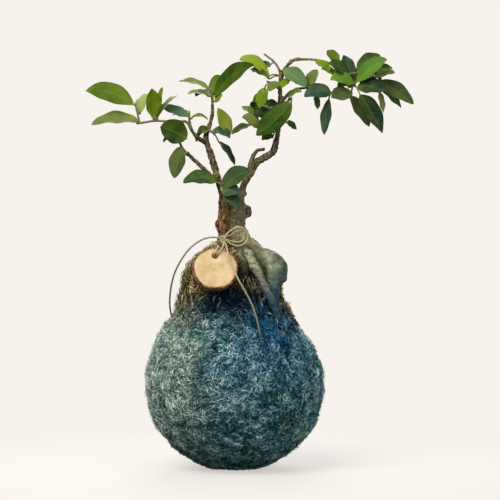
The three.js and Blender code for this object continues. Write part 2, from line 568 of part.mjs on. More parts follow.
function buildPlant() {
  const plant = new THREE.Group();
  const tree = largestBody(treeSolid());
  const treeSpace = treeSolid(CLEARANCE);
  const tag = tagSolid();
  const tagSpace = tagSolid(CLEARANCE);
  const knotSpace = knotSolid(KNOT_CENTRE, KNOT_RADII, CLEARANCE);
  const endKnotSpace = knotSolid(END_KNOT_CENTRE, END_KNOT_RADII, CLEARANCE);
  const tagLoop = stringSolid(tagLoopPoints(), 4);
  const tagLoopSpace = stringSolid(tagLoopPoints(), 4, CLEARANCE);
  const coreSpace = coreSolid(CLEARANCE);

  const core = cutBy(coreSolid(), [treeSpace]);
  const mound = cutBy(moundSolid(), [coreSpace, treeSpace, tagSpace, tagLoopSpace]);
  const skin = cutBy(ballSolid(), [coreSpace, moundSolid(CLEARANCE), treeSpace, endKnotSpace]);

  plant.add(namedMesh('soil_core', largestBody(core), SOIL));
  plant.add(namedMesh('moss_ball', largestBody(skin), MOSS));
  plant.add(namedMesh('moss_mound', largestBody(mound), PEAT));
  plant.add(namedMesh('tree', tree, BARK));
  plant.add(namedMesh('wood_tag', tag, TAG_WOOD));

  for (const [name, spray] of Object.entries(SPRAYS)) {
    const leafy = cutBy(spraySolid(spray), [treeSpace]);
    plant.add(namedMesh(name, largestBody(leafy), { color: spray.colour, roughness: 0.5, metalness: 0 }));
  }

  const skinSpace = ballSolid();
  const strings = {
    string_bow_outer: [stringSolid(BOW_OUTER, 4.4), [knotSpace]],
    string_bow_inner: [stringSolid(BOW_INNER, 4.4), [knotSpace]],
    string_tag_loop: [tagLoop, [knotSpace]],
    string_left_tail: [stringSolid(LEFT_TAIL, 5.4), [knotSpace, skinSpace]],
    string_right_tail: [stringSolid(RIGHT_TAIL, 5.4), [knotSpace, endKnotSpace]],
  };
  plant.add(namedMesh('string_knot', knotSolid(KNOT_CENTRE, KNOT_RADII), TWINE));
  plant.add(namedMesh('string_end_knot', knotSolid(END_KNOT_CENTRE, END_KNOT_RADII), TWINE));
  for (const [name, [body, cutters]] of Object.entries(strings)) {
    plant.add(namedMesh(name, largestBody(cutBy(body, cutters)), TWINE));
  }
  return plant;
}

export default buildPlant();
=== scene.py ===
"""A kokedama: a small ficus with swollen roots in a ball of dyed moss, with a wood slice on a string.

Lists of places are in millimetres, in the plant's own frame: the origin is the flat spot under the
ball, +Z is up and the front looks along -Y. Meshes are written in metres. Colours are screen colours,
in 0 to 255, unless they are said to be linear.
"""
from functools import partialmethod

import bpy
import numpy as np
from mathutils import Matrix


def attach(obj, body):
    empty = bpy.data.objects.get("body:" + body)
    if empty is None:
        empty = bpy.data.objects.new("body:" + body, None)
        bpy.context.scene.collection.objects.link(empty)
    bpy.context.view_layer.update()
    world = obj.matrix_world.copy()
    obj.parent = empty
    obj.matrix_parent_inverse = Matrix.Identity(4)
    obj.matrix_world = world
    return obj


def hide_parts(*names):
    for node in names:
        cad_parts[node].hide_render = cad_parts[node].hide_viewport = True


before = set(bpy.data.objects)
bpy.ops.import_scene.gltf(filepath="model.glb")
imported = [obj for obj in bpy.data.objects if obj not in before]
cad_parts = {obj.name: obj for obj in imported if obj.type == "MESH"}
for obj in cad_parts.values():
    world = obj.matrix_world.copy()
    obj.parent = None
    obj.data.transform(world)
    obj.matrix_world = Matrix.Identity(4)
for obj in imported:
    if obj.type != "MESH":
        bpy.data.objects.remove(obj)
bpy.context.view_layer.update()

MM = 0.001

# Camera, in millimetres: lens and sensor, the width it sees at the plant, its tilt and where it looks
LENS, SENSOR, SEEN_WIDTH = 200, 36, 400
CAMERA_RISE = np.radians(2.5)
CAMERA_TARGET = np.array([11.6, 0, 175.2])
# Lights: place and size in metres, power in watts and linear colour; all shine towards one place
LIGHT_TARGET = np.array([0, 0, 0.18])
LIGHTS = {
    "key": ((-0.64, -0.98, 1.3), 1.2, 28, (1, 0.98, 0.94)),
    "fill": ((1.1, -1.2, 0.5), 1.0, 7, (0.95, 0.98, 1)),
    "back": ((0.0, 1.5, 0.95), 1.1, 26, (1, 1, 1)),
}
# Floor: half its width in millimetres, how far its own shade is full and how far it reaches in
# metres, the glow that it has there, and its linear colour
FLOOR_REACH = 4000
FLOOR_FADE = (0.1, 0.34)
FLOOR_GLOW = 0.6
FLOOR_COLOUR = (0.262, 0.254, 0.246, 1)
# What the camera sees behind the plant, and the colour of the light all round
BACKDROP = (247, 242, 236)
SKY = (240, 240, 238)

# Sizes shared with the construction, in millimetres
BALL_RADIUS = 72
BALL_CENTRE = np.array([0.0, 0.0, 70.0])
# The flatter shoulder of the ball: its direction from the centre, its depth and how far it spreads
SHOULDER = (0.75, 0, 0.66)
SHOULDER_DEPTH = 6
SHOULDER_SPREAD = 0.42
# The moss collar's rings of radius and height; it slumps to the right above a height
MOUND_CENTRE_X = -3
MOUND_RINGS = [
    (43, 106), (46, 118), (45, 128), (42, 143), (40, 154), (36.5, 163), (31, 170.5), (22, 177), (11, 181),
    (1, 182),
]
SLUMP_FROM_Z = 150
STRING_RADIUS = 0.8
KNOT_CENTRE = np.array([-10.4, -21.0, 185.2])
END_KNOT_CENTRE = np.array([20.2, -57.7, 108.6])
TAG_RADIUS = 18
TAG_THICKNESS = 6.5
TAG_CENTRE = np.array([-16.0, -41.0, 161.6])
TAG_LEAN, TAG_TURN = np.radians(25), np.radians(10)
# The slice's hole in its own plane: across, up and radius
TAG_HOLE = (0.4, 10.5, 2.6)

TRUNK = [
    (-2, 4, 128, 6), (-2, 4, 142, 10), (-1, 3, 160, 12.5), (0, 2, 175, 13.2), (-0.4, 1.4, 184, 12.2),
    (-2.8, 0.5, 193.5, 10.2), (-2.6, 0, 201, 10.8), (-1.8, 0, 208, 10.8), (-2.6, 0, 216, 10.2),
    (-3, 0, 222.5, 7.6), (-3, 0, 226.5, 3.6),
]
THIGH_ROOT = [
    (5, 0, 179, 9), (17, -5, 169.5, 9.6), (28.5, -11, 165, 9.9), (32.8, -16, 156.8, 8.8),
    (30.4, -20, 148.5, 6.4), (30, -23, 141, 5.2), (30.6, -25, 131, 4.4), (31.4, -26, 118, 3.6),
    (31, -25, 104, 3.2),
]
FRONT_ROOT = [
    (4, -6, 172, 4), (10.6, -20.4, 171.6, 4.4), (13.6, -25.6, 165.6, 3.5), (18, -29, 158, 3.4),
    (22.4, -32.4, 149.5, 3.3), (26.4, -34.8, 141.8, 3.2), (30, -35.6, 133, 3.1), (32.8, -35, 124, 3),
    (33.6, -32, 114, 2.9), (33.6, -30, 106, 2.8),
]
# The foot of the trunk between the wood slice and the front root
TRUNK_FOOT = [
    (2, -3, 184, 7.4), (4, -8.6, 177, 6.8), (5, -21.4, 169.5, 6), (5.6, -27.4, 163, 5.6),
    (6.4, -28.6, 157, 4.6), (7, -27, 150, 3),
]
BACK_ROOTS = [
    [(4, 6, 180, 9), (13, 18, 172, 9.5), (19, 27, 161, 8.4), (21, 32, 148, 6), (20, 34, 134, 4.4),
     (18, 32, 106, 3.4)],
    [(-6, 6, 180, 7), (-16, 16, 168, 7.6), (-24, 24, 155, 6), (-28, 28, 140, 4.4), (-28, 27, 108, 3.4)],
]
AERIAL_ROOTS = [
    [(-9, -4, 212, 2.2), (-11, -8, 200, 2.8), (-9.5, -12, 190, 3), (-9, -14, 180, 3.2), (-8, -18, 166, 3)],
    [(-10, -2, 217, 1.8), (-11, -5, 203, 2), (-11, -9, 190, 2.2), (-13, -12, 176, 2.2), (-15, -14, 166, 2)],
    [(-9, 5, 214, 1.8), (-11, 7, 198, 2.4), (-12, 9, 184, 2.6), (-16, 12, 168, 2.2)],
]
KNOBS = [
    [(5, -2, 211, 3), (9.6, -3, 208.4, 2.4), (10.4, -3, 204.6, 2.3), (7, -2.5, 201, 2.4),
     (4, -2, 196, 2.2)],
    [(-9, -5, 201, 2.6), (-13.2, -5.5, 196.4, 3.2), (-10, -5, 191, 2.6)],
    [(36, -17, 160, 4), (40.2, -18, 156.8, 1.9), (41, -18, 156, 1.2)],
    [(0, 8, 214, 3), (2, 11, 207, 3), (0, 8, 200, 3)],
    [(24, -12, 170, 4), (27, -19.4, 165.4, 4.8), (28.4, -20.6, 159.4, 4.2), (28, -18, 152, 3)],
]
BRANCHES = [
    [(4, 1, 216, 4.4), (7.1, 0, 228, 3), (12.6, -1, 237.6, 3), (16.4, -2, 244.6, 3.1), (24.4, -2, 249.8, 3),
     (29.8, -2, 253.2, 2.8), (31.6, -1, 258, 2.6), (33.2, 1, 266, 2.2), (35, 3, 280, 2),
     (35.6, 4, 293, 1.9), (35.6, 5, 306, 1.7), (36, 5, 316, 1.4)],
    [(9, 0, 232, 2.2), (11, 1, 240, 1.8), (16, 2, 253.6, 1.6), (23.6, 2, 256, 1.2)],
    [(-9, 0, 217, 4), (-13, 1, 228, 2.9), (-15.4, 3, 237, 2.8), (-20.2, 6, 252.6, 2.6), (-23, 8, 261, 2.3),
     (-23.6, 9, 266.6, 2), (-21.2, 10, 273.6, 1.8), (-18.6, 10, 284, 1.6), (-18.4, 9, 292, 1.4)],
    [(-11, -2, 226, 2.2), (-17, -5, 233, 1.7), (-28, -9, 243, 1.5), (-39, -13, 253, 1.3)],
    [(-22.6, 8, 260, 2), (-27, 5, 262.6, 1.8), (-31, 2, 265.4, 1.7), (-36, -2, 272.4, 1.5)],
    [(35.4, 4, 291, 1.8), (40, 4, 297.6, 1.5), (48, 3, 303.6, 1.3), (55, 3, 304.6, 1.2)],
    [(34, 2, 272, 2), (33, 8, 279, 1.6), (29, 17, 286, 1.4), (26, 24, 289, 1.2)],
    [(36, 5, 310, 1.6), (40, 4, 320, 1.5), (46, 2, 326.6, 1.4), (56, 0, 327.6, 1.3)],
]

# Sizes of what only the scene has. Points round a string and along each span of it, and in a knot
STRING_SIDES, STRING_STEPS, KNOT_STEPS = 12, 14, 90
# Batches of fibres on the ball: how many, bends in each, shortest and longest
FIBRE_BATCHES = [(29000, 1, 2.4, 6.5), (29000, 1, 2.4, 6.5), (8000, 2, 4.5, 9), (8000, 2, 4.5, 9)]
# None of them grow where the collar covers the ball: above this height, within this radius
COVERED_FROM_Z, COVERED_RADIUS = 110, 41
# Fibres of the collar, of its seam with the ball and of the tuft, and root hairs on the collar
MOUND_FIBRES, SEAM_FIBRES, TUFT_FIBRES, HAIR_COUNT = 10200, 2600, 240, 14
# The short root hair under the slice: start and fall along the collar, turn round it, and radius
SHORT_HAIR = (0.32, 0.05, -1.76, 0.34)
# The hollow in the collar between the slice and the front root, its radius and depth
MOUND_HOLLOW = np.array([11.0, -36.0, 150.0])
HOLLOW_RADIUS, HOLLOW_DEPTH = 11, 6
# The hollow curve where the collar meets the ball: its foot on the ball, its top and its reach there
SEAM_FOOT_Z, SEAM_TOP_Z, SEAM_TOP_REACH = 115.0, 132, 44
# The tuft of moss on the trunk: its centre and its half sizes
TUFT_CENTRE, TUFT_SIZE = np.array([-10.4, -8.4, 194.4]), np.array([4.4, 3, 3.6])
# Seeds of the random draws; the ball's batches count on from theirs
BALL_SEED, MOUND_SEED, HAIR_SEED, SLICE_SEED = 100, 7, 12, 5
# The bark's voxels, and the painted shade of the cleft behind the front root: its centre and half sizes
SKIN_VOXEL = 0.72
CLEFT_CENTRE, CLEFT_SIZE = [20, -21, 164.6], [3.6, 6, 5.6]
# A bud: distances from the stem's tip and radii there
BUD = [(0, 0.7), (1.2, 0.95), (2.6, 0.5), (3.4, 0.12)]
# A leaf: points along and across it, how steeply it folds, how close its side veins lie and their slant
LEAF_STEPS, LEAF_POINTS = 22, 13
LEAF_FOLD = 0.22
VEIN_WAVES, VEIN_SLANT = 62, 0.16
# The wood slice: points round its face, round its bark and round the bark's section, and the place
# of its pith, across and up
SLICE_SIDES, BARK_SIDES, BARK_LOOP = 160, 220, 14
PITH = (-1.5, -0.8)

# Leafy sprays: the stems, then the leaves. A stem's points are x, y, z and radius. A leaf is its
# base, its tip, the blade's width, the width that shows from the front, the rise of its middle above
# the line from base to tip, and the name of its green.
SPRAYS = {
    "spray_far_left": ([
        [(-35.4, -2, 271.4, 1.3), (-38.8, -4, 277.4, 1.2), (-50, -6, 277.8, 1), (-64, -8, 278.4, 0.9),
         (-76, -9, 276.6, 0.9)],
        [(-76, -9, 276.6, 0.8), (-79.4, -9, 290, 0.7)],
    ], [
        (-80.8, -9, 291.2, -118.8, -14, 302, 17.5, 15.6, 4, "mid"),
        (-77, -10, 278, -114, -16, 275.4, 17, 9.4, 3.4, "olive"),
        (-64.4, -10, 281, -66.4, -15, 304, 14, 12.4, 0, "lime"),
        (-63, -7, 281.4, -58.2, -4, 305.2, 12, 5.6, 0, "lime"),
        (-62, -6, 281.6, -46.8, 2, 298.6, 12, 3.4, 2, "pale"),
        (-76, -5, 284, -72, 8, 300, 13, 9, 2, "pale"),
        (-66, -4, 281, -70, 20, 292, 15, 6, 2, "mid"),
    ]),
    "spray_left": ([
        [(-38, -12.6, 252.2, 1.1), (-41.5, -14, 256, 1.1), (-43.5, -14.5, 259.6, 1), (-45, -14, 264, 0.8)],
    ], [
        (-38.6, -15, 264.4, -59.4, -20, 273.4, 20, 19, 1, "dark"),
        (-43.4, -16, 258, -48.4, -20, 233, 14, 13, 0, "moss"),
        (-45, -10, 263.6, -58, 8, 262, 15, 7, 3, "dark"),
    ]),
    "spray_left_upper": ([
        [(-31, 2, 265.4, 1.2), (-34, 3.4, 269.6, 1.1), (-36.6, 5.4, 277, 1), (-37, 7, 284, 0.8)],
    ], [
        (-37, 4, 281.4, -59.5, 1, 289, 12, 7.4, 1.2, "mist"),
        (-38, 8, 282, -50, 26, 284, 13, 5, 1, "mid"),
        (-36, 6, 280, -22, 3, 279.4, 5, 2.6, 3.2, "olive"),
    ]),
    "spray_fork": ([
        [(-10, -4, 219, 1.6), (-11.4, -9, 224, 1.4), (-11, -14, 227, 1)],
    ], [
        (-15.5, -14, 229.8, -41.2, -20, 229.4, 15.5, 10.6, 3.6, "sage"),
        (-10.4, -15, 225.4, 11.6, -21, 238.4, 15.5, 13.6, 3, "sage"),
        (-11, -15.5, 223.4, 2.4, -22, 220.6, 13.5, 12, 1.6, "blue"),
        (-9.4, -15, 220.4, 3.4, -21, 208.4, 12, 9.6, 1.6, "teal"),
    ]),
    "spray_middle": ([
        [(-22.6, 9, 270, 1.2), (-21.4, 5, 270.4, 1.2), (-19.4, 1, 270, 1), (-17.6, -2, 268.4, 0.8)],
    ], [
        (-4, -4, 267.8, -14, -8, 288.4, 12, 10.4, 0, "gold"),
        (-17.6, -4, 271.6, -4.4, -14, 264.4, 11, 7, 2, "blue"),
        (-13.4, -3, 261.8, -0.4, -7, 242.8, 12, 5, 2, "deep"),
        (-24, 4, 268.6, -32, 22, 262, 14, 6, 3, "mid"),
    ]),
    "spray_middle_top": ([
        [(-18.4, 9, 291, 1.1), (-18.6, 8, 296, 1.1), (-19.4, 7, 301, 0.9)],
    ], [
        (-17.4, 5, 297.4, 14.4, -8, 322.6, 15.5, 12.8, 5.6, "fresh"),
        (-20.6, 6, 303.6, -44.8, 1, 309.8, 12, 4.4, 2.4, "olive"),
        (-21, 9, 298, -38.8, 14, 300, 10, 3.6, 2.4, "pale"),
        (-16, 5, 293.6, -10.4, 0, 299, 7, 5, 0.8, "lime"),
        (-18.4, 12, 300, -8, 34, 310, 16, 9, 5, "mid"),
        (-20, 12, 298, -31, 34, 299, 14, 3, 2.4, "green"),
    ]),
    "spray_centre": ([
        [(34.4, 2, 276, 1.4), (29, -3, 279, 1.2), (23.6, -6, 279, 1), (17, -7, 277.4, 0.8)],
    ], [
        (16, -5, 282, 4.8, 0, 289.8, 10, 5, 1, "mid"),
        (27, -4, 282.6, 14.4, -8, 284, 12, 9.4, 1, "deep"),
        (19.6, -8, 272.6, 5.4, -14, 281, 12, 8.6, 2, "olive"),
        (12, -7, 275, -3, -12, 267.4, 10, 5, 1.6, "dark"),
        (40.6, 0, 277, 48.8, 3, 271.6, 8, 5, 0.8, "dark"),
        (30.4, -6, 267, 21.2, -10, 263, 9, 6, 0.8, "green"),
    ]),
    "spray_big_leaf": ([
        [(35.2, 4, 290, 1.3), (39, -1, 292.4, 1), (43.4, -6, 295.4, 0.9)],
    ], [
        (44.6, -11, 293.6, 16.6, -17, 267, 20, 17, -2.4, "green"),
        (42, -7, 296, 52, -20, 301, 9, 4, 2, "mid"),
    ]),
    "spray_young": ([
        [(35.6, 4.6, 303, 1.2), (31.4, 0, 307, 1), (27, -3, 309, 0.8)],
    ], [
        (23.4, -5, 305, 19.4, -8, 288.6, 11, 9.4, 0, "lime"),
        (34, -3, 309, 26, -8, 302, 9, 7.2, 0.6, "olive"),
        (34.6, 0, 304.4, 44.4, 2, 312, 8, 5.6, 0.6, "lime"),
    ]),
    "spray_back": ([
        [(26.6, 22.6, 288.6, 1), (24, 29, 290, 0.9), (21, 36, 290, 0.8)],
    ], [
        (22, 40, 290, 14, 66, 287, 16, 10, 5, "mid"),
        (24, 32, 289, 40, 52, 286, 16, 9, 2, "green"),
        (22, 30, 288, 14, 44, 276, 15, 8, 2, "dark"),
        (23.4, 31, 288, 32, 48, 278, 15, 9, 2, "mid"),
    ]),
    "spray_centre_top": ([
        [(35.8, 5, 312, 1.1), (35, 5, 319, 1), (31, 5, 325.4, 0.9), (25, 5, 330.2, 0.8)],
    ], [
        (27, 6, 312, 3.2, 9, 327.2, 12, 9, 6, "yellow"),
        (25, 0, 313.6, 11.6, 6, 320, 9, 5, 1, "dark"),
        (38, 0, 318.4, 56.4, -10, 305, 14, 12.4, 2.6, "dew"),
        (38, 9, 318, 52, 32, 308, 14, 8, 2, "mid"),
        (27, 8, 322, 14, 26, 318, 12, 6, 2, "green"),
    ]),
    "spray_right_low": ([
        [(53, 3, 304.4, 0.95), (60, 2, 304.8, 0.9), (68, 0, 303, 0.8), (77, -2, 301, 0.8)],
    ], [
        (57, 0, 306.4, 65.6, -4, 319, 11, 8.6, 0, "olive"),
        (76, -5, 300, 54.8, -12, 297.6, 14.5, 12, 3, "blue"),
        (74.4, -4, 295.6, 70.6, -8, 267.4, 11, 8.4, 0, "blue"),
        (64, 0, 299, 65.2, -3, 287.6, 8, 5, 0, "olive"),
        (70, 4, 302, 68, 26, 300, 13, 6, 0, "mid"),
    ]),
    "spray_right": ([
        [(53.6, 0.2, 327.6, 1.1), (64, -1, 327, 1), (77, -2, 323.4, 1), (87.4, -3, 315, 1),
         (94, -3, 307.4, 0.9)],
        [(87.4, -3, 315, 0.8), (99, 0, 316.6, 0.8), (110, 3, 314, 0.8)],
    ], [
        (96.4, -6, 309, 120.4, -13, 327, 15, 12.4, 3, "bright"),
        (97.6, 2, 318, 116, 11, 330.6, 14, 9.6, 3, "dark"),
        (93, 1, 314, 86.4, 5, 331, 13, 10, 0, "blue"),
        (88, -5, 316.4, 74.4, -13, 323, 12, 9, 2, "dark"),
        (94, -7, 308, 75.4, -15, 310.6, 13, 9.6, 2.6, "bright"),
        (110, 4, 317, 126, 12, 321, 11, 6.4, 1.4, "dark"),
        (111, 0, 313, 127, -5, 316.6, 10, 5.6, 1.4, "olive"),
        (113, 3, 308.6, 142, -2, 291.8, 15, 13, 2.6, "moss"),
        (113, 8, 307, 133.4, 20, 289, 14, 9, 3, "dark"),
        (97, -6, 304.4, 119.6, -16, 301.4, 15, 12.8, 3, "deep"),
        (99, -8, 299.6, 116.4, -18, 268.8, 16.5, 14, 2, "deep"),
        (92, -5, 298, 106.4, -9, 274, 14, 10.6, 0.8, "moss"),
        (114.6, 4, 302, 118.4, 6, 285, 9, 5, 0, "pale"),
        (92, -6, 302.4, 76.4, -19, 296.4, 15, 12.4, 0, "moss"),
        (64, -3, 326, 75, -10, 318, 10, 6.4, 1, "lime"),
        (79, -6, 316, 68.4, -12, 319.4, 9, 6, 1, "lime"),
        (82, -1, 325, 73, 2, 334.6, 10, 8, 0.6, "mid"),
        (95, 1, 306, 100, 28, 312, 16, 9, 5, "mid"),
        (91, 1, 305, 82, 26, 300, 15, 8, 4, "green"),
        (104, 5, 315, 118, 28, 310, 15, 8, 4, "green"),
        (84, 2, 318, 80, 24, 312, 12, 6, 2, "mid"),
    ]),
}
# Each green, as the colour of a leaf's upper side
GREENS = {
    "mid": (74, 96, 25), "olive": (96, 110, 54), "lime": (94, 120, 14), "pale": (134, 146, 84),
    "dark": (34, 58, 20), "deep": (12, 36, 27), "blue": (34, 62, 52), "green": (18, 47, 0),
    "fresh": (32, 60, 0), "moss": (60, 74, 42), "bright": (84, 126, 42), "yellow": (116, 132, 36),
    "gold": (140, 152, 56), "sage": (41, 62, 38), "mist": (66, 98, 74), "teal": (36, 62, 52),
    "dew": (76, 102, 66),
}

# Routes of the string, from the knot outwards
BOW_OUTER = [
    (-9, -21.4, 185.8), (-4.6, -20.6, 190.8), (2.6, -19.4, 194.4), (8.8, -17.6, 191), (10.2, -16.8, 186.4),
    (7.9, -17.6, 181.8), (3, -19.2, 179.4), (-2.6, -20.8, 180.6), (-8.4, -21.6, 184.2),
]
BOW_INNER = [
    (-9, -20.4, 186), (-4.2, -18, 187.6), (0.8, -16.6, 190.6), (4.6, -15.8, 191), (7, -15.2, 187.4),
    (5.6, -15.8, 183.6), (1.6, -17.2, 182.2), (-3, -18.6, 183), (-8.6, -20.6, 184.8),
]
LEFT_TAIL = [
    (-11.4, -21, 185.3), (-15.6, -22.4, 186.2), (-20, -23.2, 186.2), (-25.4, -23.2, 184.8),
    (-31.4, -22.2, 181.4), (-38, -20, 175.2), (-44, -17.4, 166.4), (-48, -15, 158.4),
    (-50.6, -12.6, 149.6), (-52, -10.4, 140.6), (-52.4, -8.8, 132.4), (-51.4, -7.4, 124.6),
    (-49.6, -6.4, 117.6),
]
RIGHT_TAIL = [
    (-9.2, -22.2, 183.2), (-8, -26.8, 181.6), (-6.8, -35, 179), (-5.8, -39.4, 174.6), (-3.4, -42, 167.4),
    (-0.6, -44.8, 161), (2, -46.8, 155), (6.2, -46.6, 147.5), (11.2, -46, 138.4), (14.6, -46.6, 130.4),
    (17, -49.8, 122.8), (18.7, -54.9, 115), (19.8, -57.3, 110.4),
]
# The turn through the slice's hole: its start at the knot, then places across, up and out of the face
TAG_LOOP_START = (-11.6, -22, 183.8)
TAG_LOOP = [
    (8, 21, 2), (7, 17.4, 4.9), (4.2, 13.8, 5), (2, 11.5, 4.4), (1.4, 10.6, 0), (1.4, 11.3, -4.4),
    (1.6, 14, -5), (2.4, 17.8, -4.9), (2.8, 20, 0), (3, 17.8, 4.9), (1.4, 13.8, 5),
    (-0.4, 11.5, 4.4), (-0.6, 10.6, 0), (-0.7, 9.6, -4.2), (-1, 7, -4.8),
]

# Colour ramps: at each place from 0 to 1 a colour
RAMPS = {
    "twine": [(0.15, 126, 118, 78), (0.5, 172, 164, 118), (0.85, 214, 206, 162)],
    "teal": [(0, 6, 34, 42), (0.35, 42, 100, 108), (0.68, 104, 166, 172), (1, 210, 236, 230)],
    "pale": [(0, 38, 68, 64), (0.35, 124, 158, 148), (0.68, 194, 216, 206), (1, 246, 250, 240)],
    "blue": [(0, 2, 22, 40), (0.35, 8, 58, 90), (0.68, 26, 92, 134), (1, 78, 142, 180)],
    "grey_olive": [(0, 24, 32, 20), (0.4, 78, 92, 64), (1, 172, 180, 142)],
    "straw": [(0, 36, 42, 26), (0.35, 128, 138, 104), (0.68, 196, 204, 170), (1, 244, 246, 224)],
    "frost": [(0, 10, 38, 60), (0.35, 60, 110, 140), (0.68, 136, 184, 208), (1, 222, 240, 244)],
    "earth": [(0, 22, 19, 12), (0.3, 98, 84, 54), (0.6, 166, 146, 100), (0.85, 210, 190, 144),
              (1, 230, 220, 184)],
    "olive": [(0, 20, 24, 13), (0.4, 96, 100, 56), (0.8, 160, 160, 104), (1, 214, 212, 164)],
    "rust": [(0, 38, 20, 12), (0.6, 150, 92, 54), (1, 208, 158, 112)],
    "foot_teal": [(0, 4, 16, 26), (0.4, 20, 54, 74), (0.7, 60, 100, 118), (1, 160, 186, 190)],
    "sage": [(0, 34, 42, 32), (0.5, 128, 140, 116), (1, 214, 222, 200)],
    "root_hair": [(0.35, 76, 72, 52), (0.6, 148, 144, 120)],
    "root": [(0.32, 54, 62, 46), (0.5, 100, 108, 84), (0.68, 164, 170, 142)],
    "stem": [(0.34, 46, 38, 26), (0.5, 116, 108, 84), (0.66, 186, 176, 144)],
    "pale_ring": [(0.38, 64, 62, 44), (0.6, 178, 174, 142)],
    "trunk_fibre": [(0.36, 28, 20, 13), (0.5, 92, 72, 46), (0.66, 176, 146, 104)],
    "branch": [(0.34, 32, 27, 17), (0.5, 86, 78, 53), (0.68, 168, 155, 116)],
    "young_stem": [(0.35, 72, 60, 34), (0.52, 112, 112, 56), (0.7, 148, 150, 88)],
    "sawn_wood": [(0.2, 172, 142, 102), (0.5, 202, 174, 130), (0.85, 222, 200, 158)],
    "slice_bark": [(0.3, 54, 34, 23), (0.5, 124, 82, 54), (0.72, 188, 146, 106)],
}
# Colours that are laid over others
COLOURS = {
    "string_dark": (78, 66, 44), "string_dyed": (44, 70, 76), "ball_below": (14, 50, 50),
    "collar_hollow": (12, 16, 14), "collar_shade": (14, 13, 9), "under_slice": (3, 16, 28),
    "spur": (40, 32, 24), "root_dye": (0, 56, 84), "root_shade": (34, 29, 18), "furrow": (20, 15, 10),
    "leaf_light": (164, 186, 66), "leaf_dark": (10, 22, 6), "leaf_dull": (138, 150, 108),
    "slice_rim": (190, 142, 92), "slice_pith": (150, 100, 60),
}
# Spots where a finish changes: x, y, z, how far the change is full and how far it reaches
SPOTS = {
    # A painted highlight on the ball's front
    "front_highlight": [(10, -66, 90, 6, 44), (44, -48, 84, 4, 34)],
    "stain": [(32, -44, 118, 6, 54), (-26, 52, 112, 6, 60)],
    "brown": [(-39, -60, 70, 2, 19), (40, -52, 41, 2, 19), (58, -42, 68, 2, 19), (46, -38, 110, 2, 19),
              (-20, 66, 60, 2, 19), (50, 40, 80, 2, 19), (-52, 34, 50, 2, 19)],
    "tuft": [(-10.4, -9, 194, 6, 10)],
    "collar_front": [(2, -46, 118, 18, 62)],
    # Painted shade in the collar's hollow and just above it, and the painted shadow under the wood slice
    "collar_hollow": [(9, -33, 151, 7, 20)],
    "collar_shade": [(6, -32, 162, 5, 16)],
    "under_slice": [(-8, -44, 134, 8, 26)],
    "spur": [(10.8, -3, 206, 3, 6)],
    # Painted shade at the trunk's foot, between the wood slice and the front root
    "trunk_foot_shade": [(5, -29, 160, 6, 14)],
}
# Both kinds of moss: scale and share of the felt's tones, scale and depth of the bump, roughness
MOSSES = {"dyed": (420, 0.34, 1500, 0.4, 0.92), "brown": (400, 0.3, 1200, 0.5, 0.93)}
# Finishes of one grain: its scales along x, y and z, its detail, roughness, the bump's depth and
# strength, and the sheen
GRAINS = {
    "root_hair": ((500, 500, 500), 3, 0.8, 0, 0, 0.2),
    "young_stem": ((500, 500, 160), 4, 0.55, 0.3, 0.5, 0.5),
    "slice_bark": ((380, 380, 380), 5, 0.85, 0.8, 0.8, 0.5),
}


def srgb(red, green, blue):
    """Linear colour with alpha of a screen colour: the usual power law of 2.4 with its offset."""
    screen = np.array([red, green, blue]) / 255
    return (*np.where(screen <= 0.04045, screen / 12.92, ((screen + 0.055) / 1.055) ** 2.4), 1)


def lengths(vectors):
    return np.linalg.norm(vectors, axis=-1)


def unit(vectors):
    return vectors / np.linalg.norm(vectors, axis=-1, keepdims=True)


def circle(count):
    """Angles of a full turn in equal steps."""
    return 2 * np.pi * np.arange(count) / count


def polar(angle, radius):
    """Places at an angle and a radius, as two columns."""
    return np.stack([radius * np.cos(angle), radius * np.sin(angle)], axis=-1)


def spokes(across, over, angle):
    """Directions at each angle round each point, between its across and over directions."""
    return across[:, None] * np.cos(angle)[:, None] + over[:, None] * np.sin(angle)[:, None]


def lattice_noise(points, cell, seed):
    """Smooth noise from -0.5 to 0.5: random values, each the fraction of a large sine, at the corners
    of cubes of a given size, blended inside each cube by 3t^2 - 2t^3 along each axis."""
    place = points / cell
    corner = np.floor(place)
    part = place - corner
    blend = part * part * (3 - 2 * part)
    total = np.zeros(len(points))
    for step in np.ndindex(2, 2, 2):
        mixed = np.sin((corner + step) @ [127.1, 311.7, 74.7] + 17.3 * seed) * 43758.5453
        weight = np.prod(np.where(step, blend, 1 - blend), axis=1)
        total += weight * (mixed - np.floor(mixed))
    return total - 0.5


def swirl(points, cell, seed):
    """Directions that turn slowly from place to place: three smooth noises."""
    return unit(np.stack([lattice_noise(points, cell, seed + i) for i in range(3)], axis=1))


def smooth_route(points, per_span):
    """Curve through the points: on each span a cubic whose end slopes come from the neighbours,
    weighted by the square roots of the distances between them."""
    known = np.array(points, dtype=float)
    line = np.concatenate([2 * known[:1] - known[1:2], known, 2 * known[-1:] - known[-2:-1]])
    spans = np.diff(line, axis=0)
    roots = np.sqrt(lengths(spans[:, :3]))[:, None]
    before, span, after = spans[:-2], spans[1:-1], spans[2:]
    gap = [roots[:-2], roots[1:-1], roots[2:]]
    slope_in = (before / gap[0] - (before + span) / (gap[0] + gap[1]) + span / gap[1]) * gap[1]
    slope_out = (span / gap[1] - (span + after) / (gap[1] + gap[2]) + after / gap[2]) * gap[1]
    t = np.linspace(0, 1, per_span, endpoint=False)[:, None]
    square = 3 * span - 2 * slope_in - slope_out
    cube = slope_in + slope_out - 2 * span
    curve = line[1:-2, None] + slope_in[:, None] * t + square[:, None] * t ** 2 + cube[:, None] * t ** 3
    return np.concatenate([curve.reshape(-1, known.shape[1]), known[-1:]])


